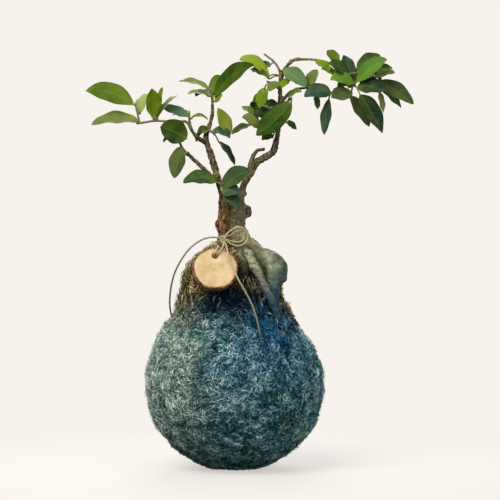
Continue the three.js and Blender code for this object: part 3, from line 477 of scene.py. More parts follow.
def frames_along(line):
    """Side and over directions at each point of a line, turned as little as possible from one point
    to the next. The first is across any direction but the line's own."""
    tangents = unit(np.gradient(line, axis=0))
    side = np.cross(tangents[0], [0.31, 0.95, 0.05])
    sides = np.empty_like(line)
    for i, tangent in enumerate(tangents):
        side = unit(side - tangent * (side @ tangent))
        sides[i] = side
    return sides, np.cross(tangents, sides)


def ring_faces(rings, sides, closed=False):
    """Quads between neighbouring rings of points; the last ring meets the first where closed."""
    ring = np.arange(rings if closed else rings - 1)[:, None] * sides
    above = (ring + sides) % (rings * sides)
    side = np.arange(sides)
    after = (side + 1) % sides
    return np.stack([ring + side, ring + after, above + after, above + side], axis=-1).reshape(-1, 4)


def looped_rings(rings):
    """Body through rings of points, of which the last meets the first."""
    return rings.reshape(-1, 3), ring_faces(*rings.shape[:2], closed=True)


def capped_faces(rings, sides):
    """Quads and triangles of a body of rings between a first and a last point."""
    side = np.arange(sides)
    after = (side + 1) % sides
    first, last = 0 * side, 0 * side + 1 + rings * sides
    start = np.stack([first, 1 + after, 1 + side], axis=1)
    end = np.stack([last, last - sides + side, last - sides + after], axis=1)
    return 1 + ring_faces(rings, sides), np.concatenate([start, end])


def capped_rings(rings):
    """Closed body through rings of points, with a point in the middle of the first and the last."""
    middles = rings[[0, -1]].mean(axis=1)
    points = np.concatenate([middles[:1], rings.reshape(-1, 3), middles[1:]])
    return points, *capped_faces(*rings.shape[:2])


def limb(points, sides, per_span=6):
    """Round limb through points of x, y, z and radius."""
    line = smooth_route(points, per_span)
    ways = spokes(*frames_along(line[:, :3]), circle(sides))
    return capped_rings(line[:, None, :3] + ways * line[:, 3, None, None])


def joined(bodies):
    """One body from several: points, quads and triangles, with the numbers of points moved on."""
    moves = np.cumsum([0] + [len(body[0]) for body in bodies[:-1]])
    points, *faces = zip(*bodies)
    numbered = [np.concatenate([part + move for part, move in zip(kind, moves)]) for kind in faces]
    return np.concatenate(points), *numbered


def add_object(name, data):
    """Object in the scene."""
    made = bpy.data.objects.new(name, data)
    bpy.context.scene.collection.objects.link(made)
    return made


def new_mesh(name, body):
    """Mesh from points in millimetres and arrays of faces."""
    points, *faces = body
    mesh = bpy.data.meshes.new(name)
    mesh.from_pydata((points * MM).tolist(), [], [face for kind in faces for face in kind.tolist()])
    mesh.validate()
    return mesh


def read(items, field):
    """Vectors of a mesh's points, one in each row."""
    values = np.empty(3 * len(items), dtype=np.float32)
    items.foreach_get(field, values)
    return values.reshape(-1, 3).astype(float)


def write(items, field, values):
    items.foreach_set(field, values.astype(np.float32).ravel())


def place_piece(name, mesh, finish, slot, node=None, **attributes):
    """Smooth piece that rides on the root. Where a node is named, it stands for that node.
    Attributes are arrays with one value or vector for each point."""
    mesh.polygons.foreach_set("use_smooth", np.ones(len(mesh.polygons), dtype=bool))
    for key, values in attributes.items():
        kind, field = ("FLOAT", "value") if values.ndim == 1 else ("FLOAT_VECTOR", "vector")
        write(mesh.attributes.new(key, kind, "POINT").data, field, values)
    mesh.materials.clear()
    mesh.materials.append(finish)
    piece = add_object(name, mesh)
    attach(piece, "root")
    if node:
        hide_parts(node)
    return piece


def make_piece(name, body, finish, slot, node=None, **attributes):
    """Piece from points in millimetres and arrays of faces."""
    return place_piece(name, new_mesh(name, body), finish, slot, node, **attributes)


class Wire:
    """A shader socket that takes Python arithmetic: each operation adds a Math node."""

    def __init__(self, finish, socket):
        self.finish = finish
        self.socket = socket

    def math(self, operation, *others):
        return self.finish.math(operation, self, *others)

    def __rsub__(self, other):
        return self.finish.math("SUBTRACT", other, self)

    __add__ = __radd__ = partialmethod(math, "ADD")
    __sub__ = partialmethod(math, "SUBTRACT")
    __mul__ = __rmul__ = partialmethod(math, "MULTIPLY")
    __pow__ = partialmethod(math, "POWER")
    __abs__ = partialmethod(math, "ABSOLUTE")
    __neg__ = partialmethod(math, "MULTIPLY", -1)


class Finish:
    """One material's node tree, built by expressions on wires."""

    def __init__(self, name, world=None):
        self.material = world or bpy.data.materials.new(name)
        self.material.use_nodes = True
        self.tree = self.material.node_tree
        self.tree.nodes.clear()

    def node(self, kind, sockets=None, out=0, **settings):
        """Adds a node, sets its settings first and then its sockets' values or links."""
        made = self.tree.nodes.new("ShaderNode" + kind)
        for key, value in settings.items():
            setattr(made, key, value)
        for key, value in (sockets or {}).items():
            if isinstance(value, Wire):
                self.tree.links.new(value.socket, made.inputs[key])
            else:
                made.inputs[key].default_value = value
        return Wire(self, made.outputs[out]) if len(made.outputs) else None

    def math(self, operation, *values):
        return self.node("Math", dict(enumerate(values)), operation=operation)

    def place(self):
        return self.node("TexCoord", out=3)

    def attribute(self, name, out=2):
        return self.node("Attribute", out=out, attribute_name=name)

    def split(self, vector):
        outputs = self.node("SeparateXYZ", {0: vector}).socket.node.outputs
        return [Wire(self, output) for output in outputs]

    def noise(self, vector, scale, detail=3, roughness=0.55, stretch=None):
        if stretch:
            vector = self.node("Mapping", {"Vector": vector, "Scale": stretch})
        sockets = {"Vector": vector, "Scale": scale, "Detail": detail, "Roughness": roughness}
        return self.node("TexNoise", sockets)

    def ramp(self, value, name):
        """One of the colour ramps."""
        wire = self.node("ValToRGB", {0: value})
        elements = wire.socket.node.color_ramp.elements
        for place, *_ in RAMPS[name][1:-1]:
            elements.new(place)
        for element, (place, *colour) in zip(elements, RAMPS[name]):
            element.position = place
            element.color = srgb(*colour)
        return wire

    def step(self, value, low, high):
        """0 below low, 1 above high, smooth between."""
        return self.node("MapRange", {0: value, 1: low, 2: high}, interpolation_type="SMOOTHSTEP")

    def layers(self, colour, *coats):
        """Colour under coats, each laid over those before it: its share, and its wire or name."""
        for share, coat in coats:
            coat = srgb(*COLOURS[coat]) if isinstance(coat, str) else coat
            colour = self.node("Mix", {0: share, 6: colour, 7: coat}, out=2, data_type="RGBA")
        return colour

    def near(self, vector, name):
        """1 within the inner distance of a spot in millimetres, 0 beyond the outer, smooth between;
        the sum of that for a name with several spots."""
        total = 0
        for *spot, inner, outer in SPOTS[name]:
            sockets = {0: vector, 1: np.array(spot) * MM}
            distance = self.node("VectorMath", sockets, out=1, operation="DISTANCE")
            total = total + (1 - self.step(distance, inner * MM, outer * MM))
        return total

    def surface(self, colour, roughness, height, depth, strength=0.5, specular=0.5):
        """Principled surface, bumped by a height up to a depth in millimetres."""
        bump = self.node("Bump", {"Height": height, "Distance": depth * MM, "Strength": strength})
        sockets = {"Base Color": colour, "Roughness": roughness, "Normal": bump,
                   "Specular IOR Level": specular}
        self.node("OutputMaterial", {"Surface": self.node("BsdfPrincipled", sockets)})
        return self.material


def set_camera():
    """Long lens, level with the trunk and a little above."""
    way = np.array([0, -np.cos(CAMERA_RISE), np.sin(CAMERA_RISE)])
    data = bpy.data.cameras.new("camera")
    data.lens = LENS
    data.sensor_width = SENSOR
    camera = add_object("camera", data)
    camera.location = (CAMERA_TARGET + way * SEEN_WIDTH * LENS / SENSOR) * MM
    camera.rotation_euler = (np.pi / 2 - CAMERA_RISE, 0, 0)
    bpy.context.scene.camera = camera


def set_lights():
    """Soft studio light: a large key from the upper left, a weaker fill from the right and one from
    behind, above."""
    for name, (place, size, power, colour) in LIGHTS.items():
        data = bpy.data.lights.new(name, "AREA")
        data.shape = "DISK"
        data.size = size
        data.energy = power
        data.color = colour
        light = add_object(name, data)
        light.location = place
        x, y, z = place - LIGHT_TARGET
        light.rotation_euler = (np.arctan2(np.hypot(x, y), z), 0, np.arctan2(x, -y))


def set_world():
    """Pale surroundings that light the plant mostly from above; the camera sees a plain cream."""
    world = bpy.data.worlds.new("studio")
    bpy.context.scene.world = world
    sky = Finish("studio", world)
    height = sky.split(sky.node("TexCoord"))[2]
    strength = 0.12 + 0.6 * sky.step(height, -0.35, 0.5)
    glow = sky.node("Background", {0: srgb(*SKY), 1: strength})
    seen = sky.node("Background", {0: srgb(*BACKDROP), 1: 1.0})
    blend = sky.node("MixShader", {0: sky.node("LightPath"), 1: glow, 2: seen})
    sky.node("OutputWorld", {"Surface": blend})


def set_floor():
    """Plain pale floor: near the plant it takes its shadow, further out it glows in the backdrop's
    colour alone, so that its far edge doesn't show."""
    finish = Finish("floor")
    glow, weak = (finish.node("Emission", {0: srgb(*BACKDROP), 1: power}) for power in (1.0, FLOOR_GLOW))
    matte = finish.node("BsdfDiffuse", {0: FLOOR_COLOUR})
    near = finish.node("AddShader", {0: weak, 1: matte})
    distance = finish.node("VectorMath", {0: finish.place()}, out=1, operation="LENGTH")
    both = finish.node("MixShader", {0: finish.step(distance, *FLOOR_FADE), 1: near, 2: glow})
    finish.node("OutputMaterial", {"Surface": both})
    corners = FLOOR_REACH * np.array([(-1, -1, 0), (1, -1, 0), (1, 1, 0), (-1, 1, 0)])
    mesh = new_mesh("floor", (corners, np.array([[0, 1, 2, 3]])))
    mesh.materials.append(finish.material)
    floor = add_object("floor", mesh)
    floor.visible_diffuse = False
    floor.visible_glossy = False


def twine_finish():
    """Garden twine: pale plies, with painted shade where it lies deep, dyed where it nears the ball."""
    finish = Finish("twine")
    place = finish.place()
    fuzz = finish.noise(place, 900, 4)
    tone = finish.ramp(0.3 * finish.attribute("ply") + 0.7 * fuzz, "twine")
    dye = 1 - finish.step(finish.split(place)[2], 0.106, 0.158)
    # Painted shade: the shade attribute darkens the twine where it lies deep
    colour = finish.layers(tone, (finish.attribute("shade"), "string_dark"), (dye * 0.85, "string_dyed"))
    return finish.surface(colour, 0.78, finish.noise(place, 2600), 0.25, 0.6)


def twisted_string(line, radius, closed=False):
    """Two plies laid round each other: each ring's radius swells by the square of the cosine of the
    angle less the twist, which turns once in every eight radii of length."""
    if closed:
        across, over = (part[2:-2] for part in frames_along(np.concatenate([line[-2:], line, line[:2]])))
    else:
        across, over = frames_along(line)
    travelled = np.concatenate([[0], np.cumsum(lengths(np.diff(line, axis=0)))])
    angle = circle(STRING_SIDES)
    lobes = np.cos(angle - travelled[:, None] * 2 * np.pi / (8 * radius)) ** 2
    reach = radius * (0.84 + 0.1 * lobes)
    rings = line[:, None] + spokes(across, over, angle) * reach[..., None]
    if closed:
        return looped_rings(rings), lobes.ravel()
    return capped_rings(rings), np.pad(lobes.ravel(), 1, constant_values=0.5)


def string_piece(name, route, finish, shade):
    """Stretch of the string along its route; shade is how much painted shade it has at its start and its
    end.
    """
    line = smooth_route(route, STRING_STEPS)
    body, ply = twisted_string(line, STRING_RADIUS)
    darkness = np.pad(np.repeat(np.linspace(*shade, len(line)), STRING_SIDES), 1, mode="edge")
    return make_piece(name + "_twine", body, finish, "twine", name, ply=ply, shade=darkness), line


def knot_piece(name, centre, scale, radius, finish):
    """Overhand knot: a trefoil curve, sin t + 2 sin 2t across, -sin 3t deep and cos t - 2 cos 2t up."""
    turn = circle(KNOT_STEPS)
    across = np.sin(turn) + 2 * np.sin(2 * turn)
    up = np.cos(turn) - 2 * np.cos(2 * turn)
    line = centre + scale * np.stack([across, -1.1 * np.sin(3 * turn), up], axis=1)
    body, ply = twisted_string(line, radius, closed=True)
    shade = np.full(len(ply), 0.1)
    return make_piece(name + "_twine", body, finish, "twine", name, ply=ply, shade=shade)


def declare_string(piece, line, far_end, with_pieces=()):
    """Works out the string's first point and its points in metres, and uses neither."""
    tuple(line[0] * MM)
    (line * MM).tolist()


def place_on_tag(points):
    """Places in the plant's frame from places across, up and out of the wood slice's face."""
    forward = np.cos(TAG_LEAN)
    out = np.array([np.sin(TAG_TURN) * forward, -np.cos(TAG_TURN) * forward, np.sin(TAG_LEAN)])
    across = np.array([np.cos(TAG_TURN), np.sin(TAG_TURN), 0])
    return TAG_CENTRE + points @ np.stack([across, np.cross(out, across), out])


def make_strings():
    finish = twine_finish()
    knot_piece("string_knot", KNOT_CENTRE, 0.78, 0.78, finish)
    end_knot = knot_piece("string_end_knot", END_KNOT_CENTRE, 0.42, 0.5, finish)
    # Each stretch with its painted shade at its start and its end
    for name, route, shade in (("string_bow_outer", BOW_OUTER, (0.05, 0.05)),
                               ("string_bow_inner", BOW_INNER, (0.05, 0.05)),
                               ("string_left_tail", LEFT_TAIL, (0.3, 0.75))):
        declare_string(*string_piece(name, route, finish, shade), "object")
    right, line = string_piece("string_right_tail", RIGHT_TAIL, finish, (0.0, 0.15))
    declare_string(right, line, "knot", [end_knot])
    loop = np.concatenate([[TAG_LOOP_START], place_on_tag(np.array(TAG_LOOP))])
    string_piece("string_tag_loop", loop, finish, (0.1, 0.2))


def ball_radius(directions):
    """Radius of the moss ball in each direction from its centre, with its uneven swell."""
    x, y, z = directions.T
    broad = np.sin(4.1 * x + 0.7) * np.cos(3.3 * y - 0.4)
    fine = np.sin(5.3 * z + 3.7 * x + 1.1) * np.cos(4.6 * y + 0.5)
    away = lengths(directions - SHOULDER) / SHOULDER_SPREAD
    return BALL_RADIUS + 0.9 * broad + 0.7 * fine - SHOULDER_DEPTH * np.exp(-away ** 2)


def ball_lumps(directions):
    """Uneven clumps of the moss on the ball, from about -2 to 2 mm, from noise of two sizes."""
    places = directions * BALL_RADIUS
    return 2.8 * lattice_noise(places, 8, 21) + 1.5 * lattice_noise(places, 3.6, 22)


def mound_point(angle, along):
    """Point on the moss collar: angle round it, and along from 0 at its foot to 1 at its top. The
    radius and height run smoothly through the rings, and the right side slumps."""
    profile = smooth_route(MOUND_RINGS, 12)
    radius, z = (np.interp(along, np.linspace(0, 1, len(profile)), column) for column in profile.T)
    swell = 0.9 * np.sin(3 * angle + 0.08 * z) + 0.7 * np.sin(5 * angle - 0.11 * z + 1)
    x, y = polar(angle, radius + swell * np.minimum(1, radius / 12)).T
    x = x + MOUND_CENTRE_X
    slump = np.where(z > SLUMP_FROM_Z, 0.3 * np.maximum(0, x), 0)
    return np.stack([x, y, z - slump], axis=-1)


def mound_surface(angle, along):
    """Points of the moss collar and its outward normals, from small steps along and round it."""
    step = 1e-3
    points = mound_point(angle, along)
    around = mound_point(angle + step, along) - points
    up = mound_point(angle, np.minimum(along + step, 1)) - mound_point(angle, np.maximum(along - step, 0))
    return points, unit(np.cross(around, up))


def mound_lumps(points):
    """Clumps of the collar, from about -3 to 3 mm, from noise of two sizes, and the hollow between
    the wood slice and the front root."""
    hollow = np.exp(-(lengths(points - MOUND_HOLLOW) / HOLLOW_RADIUS) ** 2)
    return 4.6 * lattice_noise(points, 9, 23) + 2.4 * lattice_noise(points, 4, 24) - HOLLOW_DEPTH * hollow


def dyed_moss_colour(finish, place, tone):
    """Colour of the dyed moss: by the place on the ball, with a share of pale and dark fibres. Its left
    is pale partly as a painted highlight, its front has a painted highlight, and it is partly painted
    shade below.
    """
    teal, pale, blue, olive, straw, frost = (
        finish.ramp(tone, name) for name in ("teal", "pale", "blue", "grey_olive", "straw", "frost"))
    x, _, z = finish.split(place)
    patch, broad, speck = finish.noise(place, 26, 4), finish.noise(place, 36), finish.noise(place, 130)
    # The pale left is partly the moss's own pale fibres and partly a painted highlight from the key light
    left = finish.step(0.08 * (patch - 0.5) + 0.07 * (speck - 0.5) - x, -0.018, 0.064)
    left = left * (0.4 + 0.6 * finish.step(z, 0.01, 0.07))
    drift = finish.step(patch, 0.5, 0.7) * 0.45 * (1 - left)
    stain = finish.step(finish.near(place, "stain") + drift + 1.1 * (speck - 0.5), 0.1, 1.15)
    fleck = finish.step(finish.noise(place, 60), 0.54, 0.7) * 0.6
    brown = finish.step(finish.near(place, "brown") * speck * 1.3 + fleck, 0.34, 1.1)
    return finish.layers(
        teal,
        (left, pale),
        (finish.step(broad, 0.5, 0.66) * left * 0.4, straw),
        ((1 - finish.step(broad, 0.36, 0.5)) * (1 - left) * 0.4, frost),
        # Painted highlight: frost-pale fibres on the ball's front, where the light falls
        (finish.near(place, "front_highlight") * finish.step(speck, 0.3, 0.6) * 0.75, frost),
        (stain, blue),
        (brown * 0.62, olive),
        # Darker towards the bottom: partly the moss's own dark colour and partly painted shade
        ((1 - finish.step(z, 0.0, 0.03)) * 0.4, "ball_below"),
    )


def brown_moss_colour(finish, place, tone):
    """Colour of undyed moss and root fibre: browns, olive and straw, greener low on the left, with
    painted shade in the collar's hollow and just above it, and the wood slice's painted shadow.
    """
    earth, olive, rust, teal, sage = (
        finish.ramp(tone, name) for name in ("earth", "olive", "rust", "foot_teal", "sage"))
    x, _, z = finish.split(place)
    patch = finish.noise(place, 70)
    reddish = finish.noise(place, 110, 2) + 0.3 * finish.near(place, "tuft")
    height = z + 0.03 * (patch - 0.5) - 0.03 * finish.near(place, "collar_front")
    low = 1 - finish.step(z + 0.02 * (patch - 0.5), 0.124, 0.142)
    return finish.layers(
        earth,
        (finish.step(patch, 0.46, 0.62), olive),
        (finish.step(reddish, 0.6, 0.72), rust),
        (1 - finish.step(height, 0.112, 0.132), teal),
        (finish.step(-x, 0.018, 0.04) * low * 0.8, sage),
        # Painted shade in the collar's hollow and just above it
        (finish.near(place, "collar_hollow") * 0.5, "collar_hollow"),
        (finish.near(place, "collar_shade") * 0.72, "collar_shade"),
        # Painted shadow of the wood slice on the collar, in a dark blue
        (finish.near(place, "under_slice") * 0.55, "under_slice"),
    )


def moss_finish(kind, layer, colour_of):
    """Moss, for the felt under the fibres or for the fibres themselves."""
    felt_scale, felt_share, grain, depth, roughness = MOSSES[kind]
    finish = Finish(f"{kind}_{layer}")
    place = finish.place()
    if layer == "felt":
        tone = finish.noise(place, felt_scale, 4) * felt_share
    else:
        tone = finish.attribute("tone")
    colour = colour_of(finish, place, tone)
    return finish.surface(colour, roughness, finish.noise(place, grain), depth, specular=0.06)


def grain_finish(name):
    """Finish with the colours and the bump of one grain."""
    scales, detail, roughness, depth, strength, specular = GRAINS[name]
    finish = Finish(name)
    grain = finish.noise(finish.place(), 1, detail, stretch=scales)
    return finish.surface(finish.ramp(grain, name), roughness, grain, depth, strength, specular)


def make_ball_base(finish):
    """Felted body of the ball: rings of latitude with the uneven swell and a fine rumple, flat below."""
    rings, sides = 120, 210
    down = np.linspace(0.004, np.pi - 0.004, rings)[:, None]
    across = polar(-circle(sides), np.sin(down))
    directions = np.concatenate([across, np.broadcast_to(np.cos(down)[:, None], (rings, sides, 1))], axis=2)
    directions = directions.reshape(-1, 3)
    places = directions * BALL_RADIUS
    rumple = lattice_noise(places, 3.2, 1) + 0.5 * lattice_noise(places, 1.5, 2)
    radius = ball_radius(directions) + ball_lumps(directions) + 1.2 * rumple - 1.7
    points = BALL_CENTRE + directions * radius[:, None]
    points[:, 2] = np.maximum(points[:, 2], 0.3)
    body = capped_rings(points.reshape(rings, sides, 3))
    make_piece("moss_ball_felt", body, finish, "dyed_moss", "moss_ball")


def fibres(roots, normals, rng, length, thickness, lift, end_lift, bends):
    """Bent fibres on a surface. Each is a three-sided body with a point at both ends and a ring at
    each bend; it rises to its lift in the middle and bows to one side."""
    count = len(roots)
    heading = rng.normal(size=(count, 3)) + 1.5 * swirl(roots, 8, 31)
    heading = unit(heading - normals * np.sum(heading * normals, axis=1)[:, None])
    across = np.cross(normals, heading)
    bow = rng.uniform(-0.14, 0.14, count) * bends * length

    def centre(along, height, side):
        """Places along the fibres, from 0 to 1, at a height over the surface and off to a side."""
        moves = (heading, length * (along - 0.5)), (normals, height), (across, side)
        return (roots + sum(way * np.broadcast_to(far, count)[:, None] for way, far in moves))[:, None]

    ways = spokes(across, normals, circle(3)) * thickness[:, None, None]
    rings = [centre(0, -0.7, 0)]
    for share in np.linspace(0, 1, bends + 2)[1:-1]:
        place = share + rng.uniform(-0.1, 0.1, count)
        middle = centre(place, lift * rng.uniform(0.6, 1.2, count), bow * np.sin(2.2 * share))
        rings.append(middle + ways * (1.1 - 0.3 * share))
    rings.append(centre(1, end_lift, -0.5 * bow))
    points = np.concatenate(rings, axis=1)
    offset = (points.shape[1] * np.arange(count))[:, None, None]
    quads, triangles = capped_faces(bends, 3)
    return points.reshape(-1, 3), (quads + offset).reshape(-1, 4), (triangles + offset).reshape(-1, 3)


def make_ball_fibres(finish):
    """Moss fibres lying on the ball in every direction: two pieces of short straight ones and two of
    longer curled ones."""
    for batch, (count, bends, shortest, longest) in enumerate(FIBRE_BATCHES):
        rng = np.random.default_rng(BALL_SEED + batch)
        directions = unit(rng.normal(size=(count, 3)))
        lump = ball_lumps(directions)
        roots = BALL_CENTRE + directions * (ball_radius(directions) + lump - 1.2)[:, None]
        reach = np.hypot(roots[:, 0] - MOUND_CENTRE_X, roots[:, 1])
        covered = (roots[:, 2] > COVERED_FROM_Z) & (reach < COVERED_RADIUS)
        keep = (roots[:, 2] > 1.4) & ~covered
        roots, directions, lump = roots[keep], directions[keep], lump[keep]
        count = len(roots)
        length = rng.uniform(shortest, longest, count)
        stray = (rng.random(count) < 0.15) & (roots[:, 2] > 10)
        lift = rng.uniform(0.1, 1.2, count) + 0.6 * stray
        end_lift = np.where(stray, rng.uniform(0.8, 3.4, count), rng.uniform(-0.7, 0.6, count))
        end_lift[roots[:, 2] < 8] = -0.4
        thickness = rng.uniform(0.17, 0.36, count)
        body = fibres(roots, directions, rng, length, thickness, lift, end_lift, bends)
        body[0][:, 2] = np.maximum(body[0][:, 2], 0.1)
        # Painted light and shade: fibres that stand higher and clumps that swell out are lighter, hollows
        # darker
        tone = np.clip(rng.beta(1.1, 1.5, count) + 0.2 * (lift - 0.6) + 0.19 * lump, 0, 1)
        tone = np.repeat(tone, 3 * bends + 2)
        make_piece(f"moss_ball_fibres_{batch + 1}", body, finish, "dyed_moss", tone=tone)


def make_mound_base(finish):
    """Rough body of the moss collar."""
    rings, sides = 70, 150
    along = np.repeat(np.linspace(0.05, 0.995, rings), sides)
    points, normals = mound_surface(np.tile(circle(sides), rings), along)
    relief = mound_lumps(points) + 1.6 * lattice_noise(points, 2.2, 4) - 3.2
    body = capped_rings((points + normals * relief[:, None]).reshape(rings, sides, 3))
    make_piece("moss_mound_base", body, finish, "brown_moss", "moss_mound")


def seam_places(rng):
    """Places and outward directions on the hollow curve where the collar meets the ball."""
    way = polar(rng.uniform(0, 2 * np.pi, SEAM_FIBRES), 1)
    share = rng.uniform(0, 1, SEAM_FIBRES)
    rise = SEAM_FOOT_Z - BALL_CENTRE[2]
    outward = unit(np.column_stack([way, np.full(SEAM_FIBRES, rise / BALL_RADIUS)]))
    foot = np.sqrt(ball_radius(outward) ** 2 - rise ** 2)
    reach = SEAM_TOP_REACH + (foot - SEAM_TOP_REACH) * share ** 2
    z = SEAM_TOP_Z - (SEAM_TOP_Z - SEAM_FOOT_Z) * share
    roots = np.column_stack([way * reach[:, None], z])
    roots[:, 0] += MOUND_CENTRE_X * (1 - share)
    normals = unit(np.column_stack([way, 0.25 + 0.9 * share]))
    return roots + normals * rng.uniform(-1.6, 0.6, SEAM_FIBRES)[:, None], normals


def tuft_places(rng):
    """Places and outward directions on the tuft of moss on the trunk's left, above the knot."""
    normals = unit(rng.normal(size=(TUFT_FIBRES, 3)))
    roots = TUFT_CENTRE + normals * TUFT_SIZE
    roots[:, 2] -= 0.5 * (roots[:, 0] - TUFT_CENTRE[0])
    return roots, normals


def make_mound_fibres(finish):
    """Coarse fibres that lie and stick out in every direction, on the collar, along its seam with the
    ball and on the trunk's tuft, which are the last and are short."""
    rng = np.random.default_rng(MOUND_SEED)
    turn = rng.uniform(0, 2 * np.pi, MOUND_FIBRES)
    roots, normals = mound_surface(turn, rng.uniform(0.16, 0.97, MOUND_FIBRES) ** 0.8)
    clump = mound_lumps(roots)
    roots = roots + normals * (clump - 2.2)[:, None]
    places = [(roots, normals), seam_places(rng), tuft_places(rng)]
    roots, normals = (np.concatenate(parts) for parts in zip(*places))
    count = len(roots)
    clump = np.pad(clump, (0, count - len(clump)))
    length = rng.uniform(3.5, 10.5, count)
    length[-TUFT_FIBRES:] *= 0.5
    stray = rng.random(count) < 0.2
    lift = rng.uniform(0, 1.8, count) + stray
    end_lift = np.where(stray, rng.uniform(1, 4, count), rng.uniform(-0.8, 1, count))
    body = fibres(roots, normals, rng, length, rng.uniform(0.16, 0.42, count), lift, end_lift, 2)
    # Painted light and shade: fibres that stand higher and clumps that swell out are lighter, and those in
    # hollows, the collar's hollow too, darker
    tone = np.clip(rng.beta(1.2, 1.7, count) + 0.1 * (lift - 0.9) + 0.07 * clump, 0, 1)
    tone[-TUFT_FIBRES:] += 0.1
    make_piece("moss_mound_fibres", body, finish, "brown_moss", tone=np.repeat(tone, 8))


def make_root_hairs(finish):
    """Fine pale roots that hang over the collar between the wood slice and the front root, and one
    short one under the slice."""
    rng = np.random.default_rng(HAIR_SEED)
    starts = [(0.5, 0.2, rng.uniform(-1.3, -0.95), rng.uniform(0.13, 0.24)) for _ in range(HAIR_COUNT)]
    share = np.linspace(0, 1, 6)
    hairs = []
    for start, fall, turn, radius in [*starts, SHORT_HAIR]:
        along = start + rng.uniform(-0.04, 0.02) - fall * rng.uniform(0.6, 1.1) * share
        angle = turn + rng.uniform(-0.12, 0.2) * share + rng.uniform(-0.02, 0.02, 6)
        points, normals = mound_surface(angle, along)
        points = points + normals * (mound_lumps(points) + rng.uniform(0.3, 1.6, 6))[:, None]
        hairs.append(limb(np.column_stack([points, radius * (1 - 0.6 * share)]), 6, 5))
    make_piece("root_hairs", joined(hairs), finish, "brown_moss")


def bark_finish():
    """Bark: smooth grey-green skin on the roots, brown fibre on the trunk's left, scarred brown
    branches, a tint of the dye where the roots enter the ball, and painted shade at the trunk's foot,
    in the furrows and pits and by the front root."""
    finish = Finish("bark")
    place = finish.place()
    x, _, z = finish.split(place)
    long_grain = finish.noise(place, 1, 5, 0.65, (420, 420, 60))
    rings = finish.noise(place, 1, 4, 0.6, (160, 160, 620))
    blotch, pits = finish.noise(place, 90, 4), finish.noise(place, 700)
    speckle = finish.noise(place, 420, 5, 0.7)
    root = finish.ramp(0.6 * blotch + 0.08 * rings + 0.32 * speckle, "root")
    stem = finish.ramp(0.45 * blotch + 0.2 * long_grain + 0.35 * speckle, "stem")
    pale_ring = finish.ramp(0.6 * rings + 0.4 * speckle, "pale_ring")
    fibre = finish.ramp(0.45 * long_grain + 0.55 * speckle, "trunk_fibre")
    branch = finish.ramp(0.5 * long_grain + 0.5 * pits, "branch")
    front = finish.attribute("front")
    drift = blotch - 0.5
    left = finish.step(0.012 * drift - x, -0.001, 0.006) * finish.step(z, 0.176, 0.19)
    dye = 1 - finish.step(z + 0.02 * drift, 0.134, 0.172)
    colour = finish.layers(
        root,
        (finish.step(z + 0.01 * drift, 0.164, 0.186), stem),
        (front * 0.9, pale_ring),
        (left, fibre),
        (finish.near(place, "spur") * finish.step(speckle, 0.36, 0.6) * 0.9, "spur"),
        (finish.step(z + 0.01 * drift, 0.216, 0.228), branch),
        (dye * 0.88, "root_dye"),
        (finish.near(place, "trunk_foot_shade") * (1 - front) * 0.82, "root_shade"),
        # Painted shade in the bark's furrows, pits, creases and cleft
        (finish.attribute("relief") * 0.8, "furrow"),
    )
    relief = 0.5 * long_grain + 0.12 * rings + 0.38 * pits
    return finish.surface(colour, 0.56 + 0.2 * long_grain, relief, 0.8, specular=0.06)


def tree_skin():
    """One voxel skin over roots, trunk and branches, smoothed."""
    limbs = [limb(TRUNK, 24), limb(THIGH_ROOT, 20)]
    limbs += [limb(root, 16) for root in (FRONT_ROOT, TRUNK_FOOT, *BACK_ROOTS)]
    limbs += [limb(root, 12) for root in AERIAL_ROOTS + KNOBS + BRANCHES]
    rough = add_object("tree_limbs", new_mesh("tree_limbs", joined(limbs)))
    skin = rough.modifiers.new("skin", "REMESH")
    skin.mode = "VOXEL"
    skin.voxel_size = SKIN_VOXEL * MM
    ease = rough.modifiers.new("ease", "SMOOTH")
    ease.factor = 0.5
    ease.iterations = 3
    graph = bpy.context.evaluated_depsgraph_get()
    mesh = bpy.data.meshes.new_from_object(rough.evaluated_get(graph))
    bpy.data.objects.remove(rough)
    return mesh


def bark_relief(points):
    """Height of the bark's relief at each point, the painted shade of its furrows and pits, and share of
    root: long ridges on the trunk, rings across the roots and fine scars on the branches, all from noise."""
    x, _, z = points.T
    trunk = np.clip((z - 172) / 20, 0, 1) * np.clip((232 - z) / 14, 0, 1)
    root = np.clip((184 - z) / 12, 0, 1)
    branch = np.clip((z - 222) / 14, 0, 1)
    slant = points + [0.22, 0, 0] * points[:, 2:] + 2.5 * lattice_noise(points, 9, 16)[:, None]
    ridges = lattice_noise(slant * [1, 1, 0.2], 1.6, 11) * np.clip(0.5 - x / 8, 0.25, 1)
    rings = lattice_noise(points * [0.3, 0.3, 1], 1.3, 13)
    lumps, scars, knuckles = (lattice_noise(points, *kind) for kind in ((7, 12), (1.7, 14), (4, 15)))
    height = (trunk * (2.2 * ridges + 1.6 * lumps + 2.0 * knuckles + 1.1 * scars)
              + root * (0.2 * rings + 1.4 * lumps + 1.5 * knuckles + 0.3 * scars)
              + branch * (1.1 * scars + 0.8 * lumps))
    # Painted shade: a darkness from 0 to 1 in the furrows and in the pits between knuckles
    depth = -2.2 * (trunk * (ridges + 0.5 * scars) + 0.5 * root * rings + 0.8 * branch * scars) - 0.1
    pits = trunk * np.clip(-1.6 * knuckles - 0.2, 0, 0.6)
    return height, np.maximum(np.clip(depth, 0, 1), pits), root


def root_marks(points, root):
    """Where the front root is, and the painted shade in the creases beside it and in the cleft behind it.
    """
    line = smooth_route(FRONT_ROOT, 6)
    gap = (lengths(points[:, None] - line[:, :3]) - line[:, 3]).min(axis=1)
    front = np.clip(1.4 - gap / 1.2, 0, 1)
    beside = 1.25 * root * np.exp(-((gap - 2.3) / 1.5) ** 2)
    cleft = 1.35 * np.exp(-lengths((points - CLEFT_CENTRE) / CLEFT_SIZE) ** 2) * (1 - front)
    return front, np.maximum(beside, cleft)


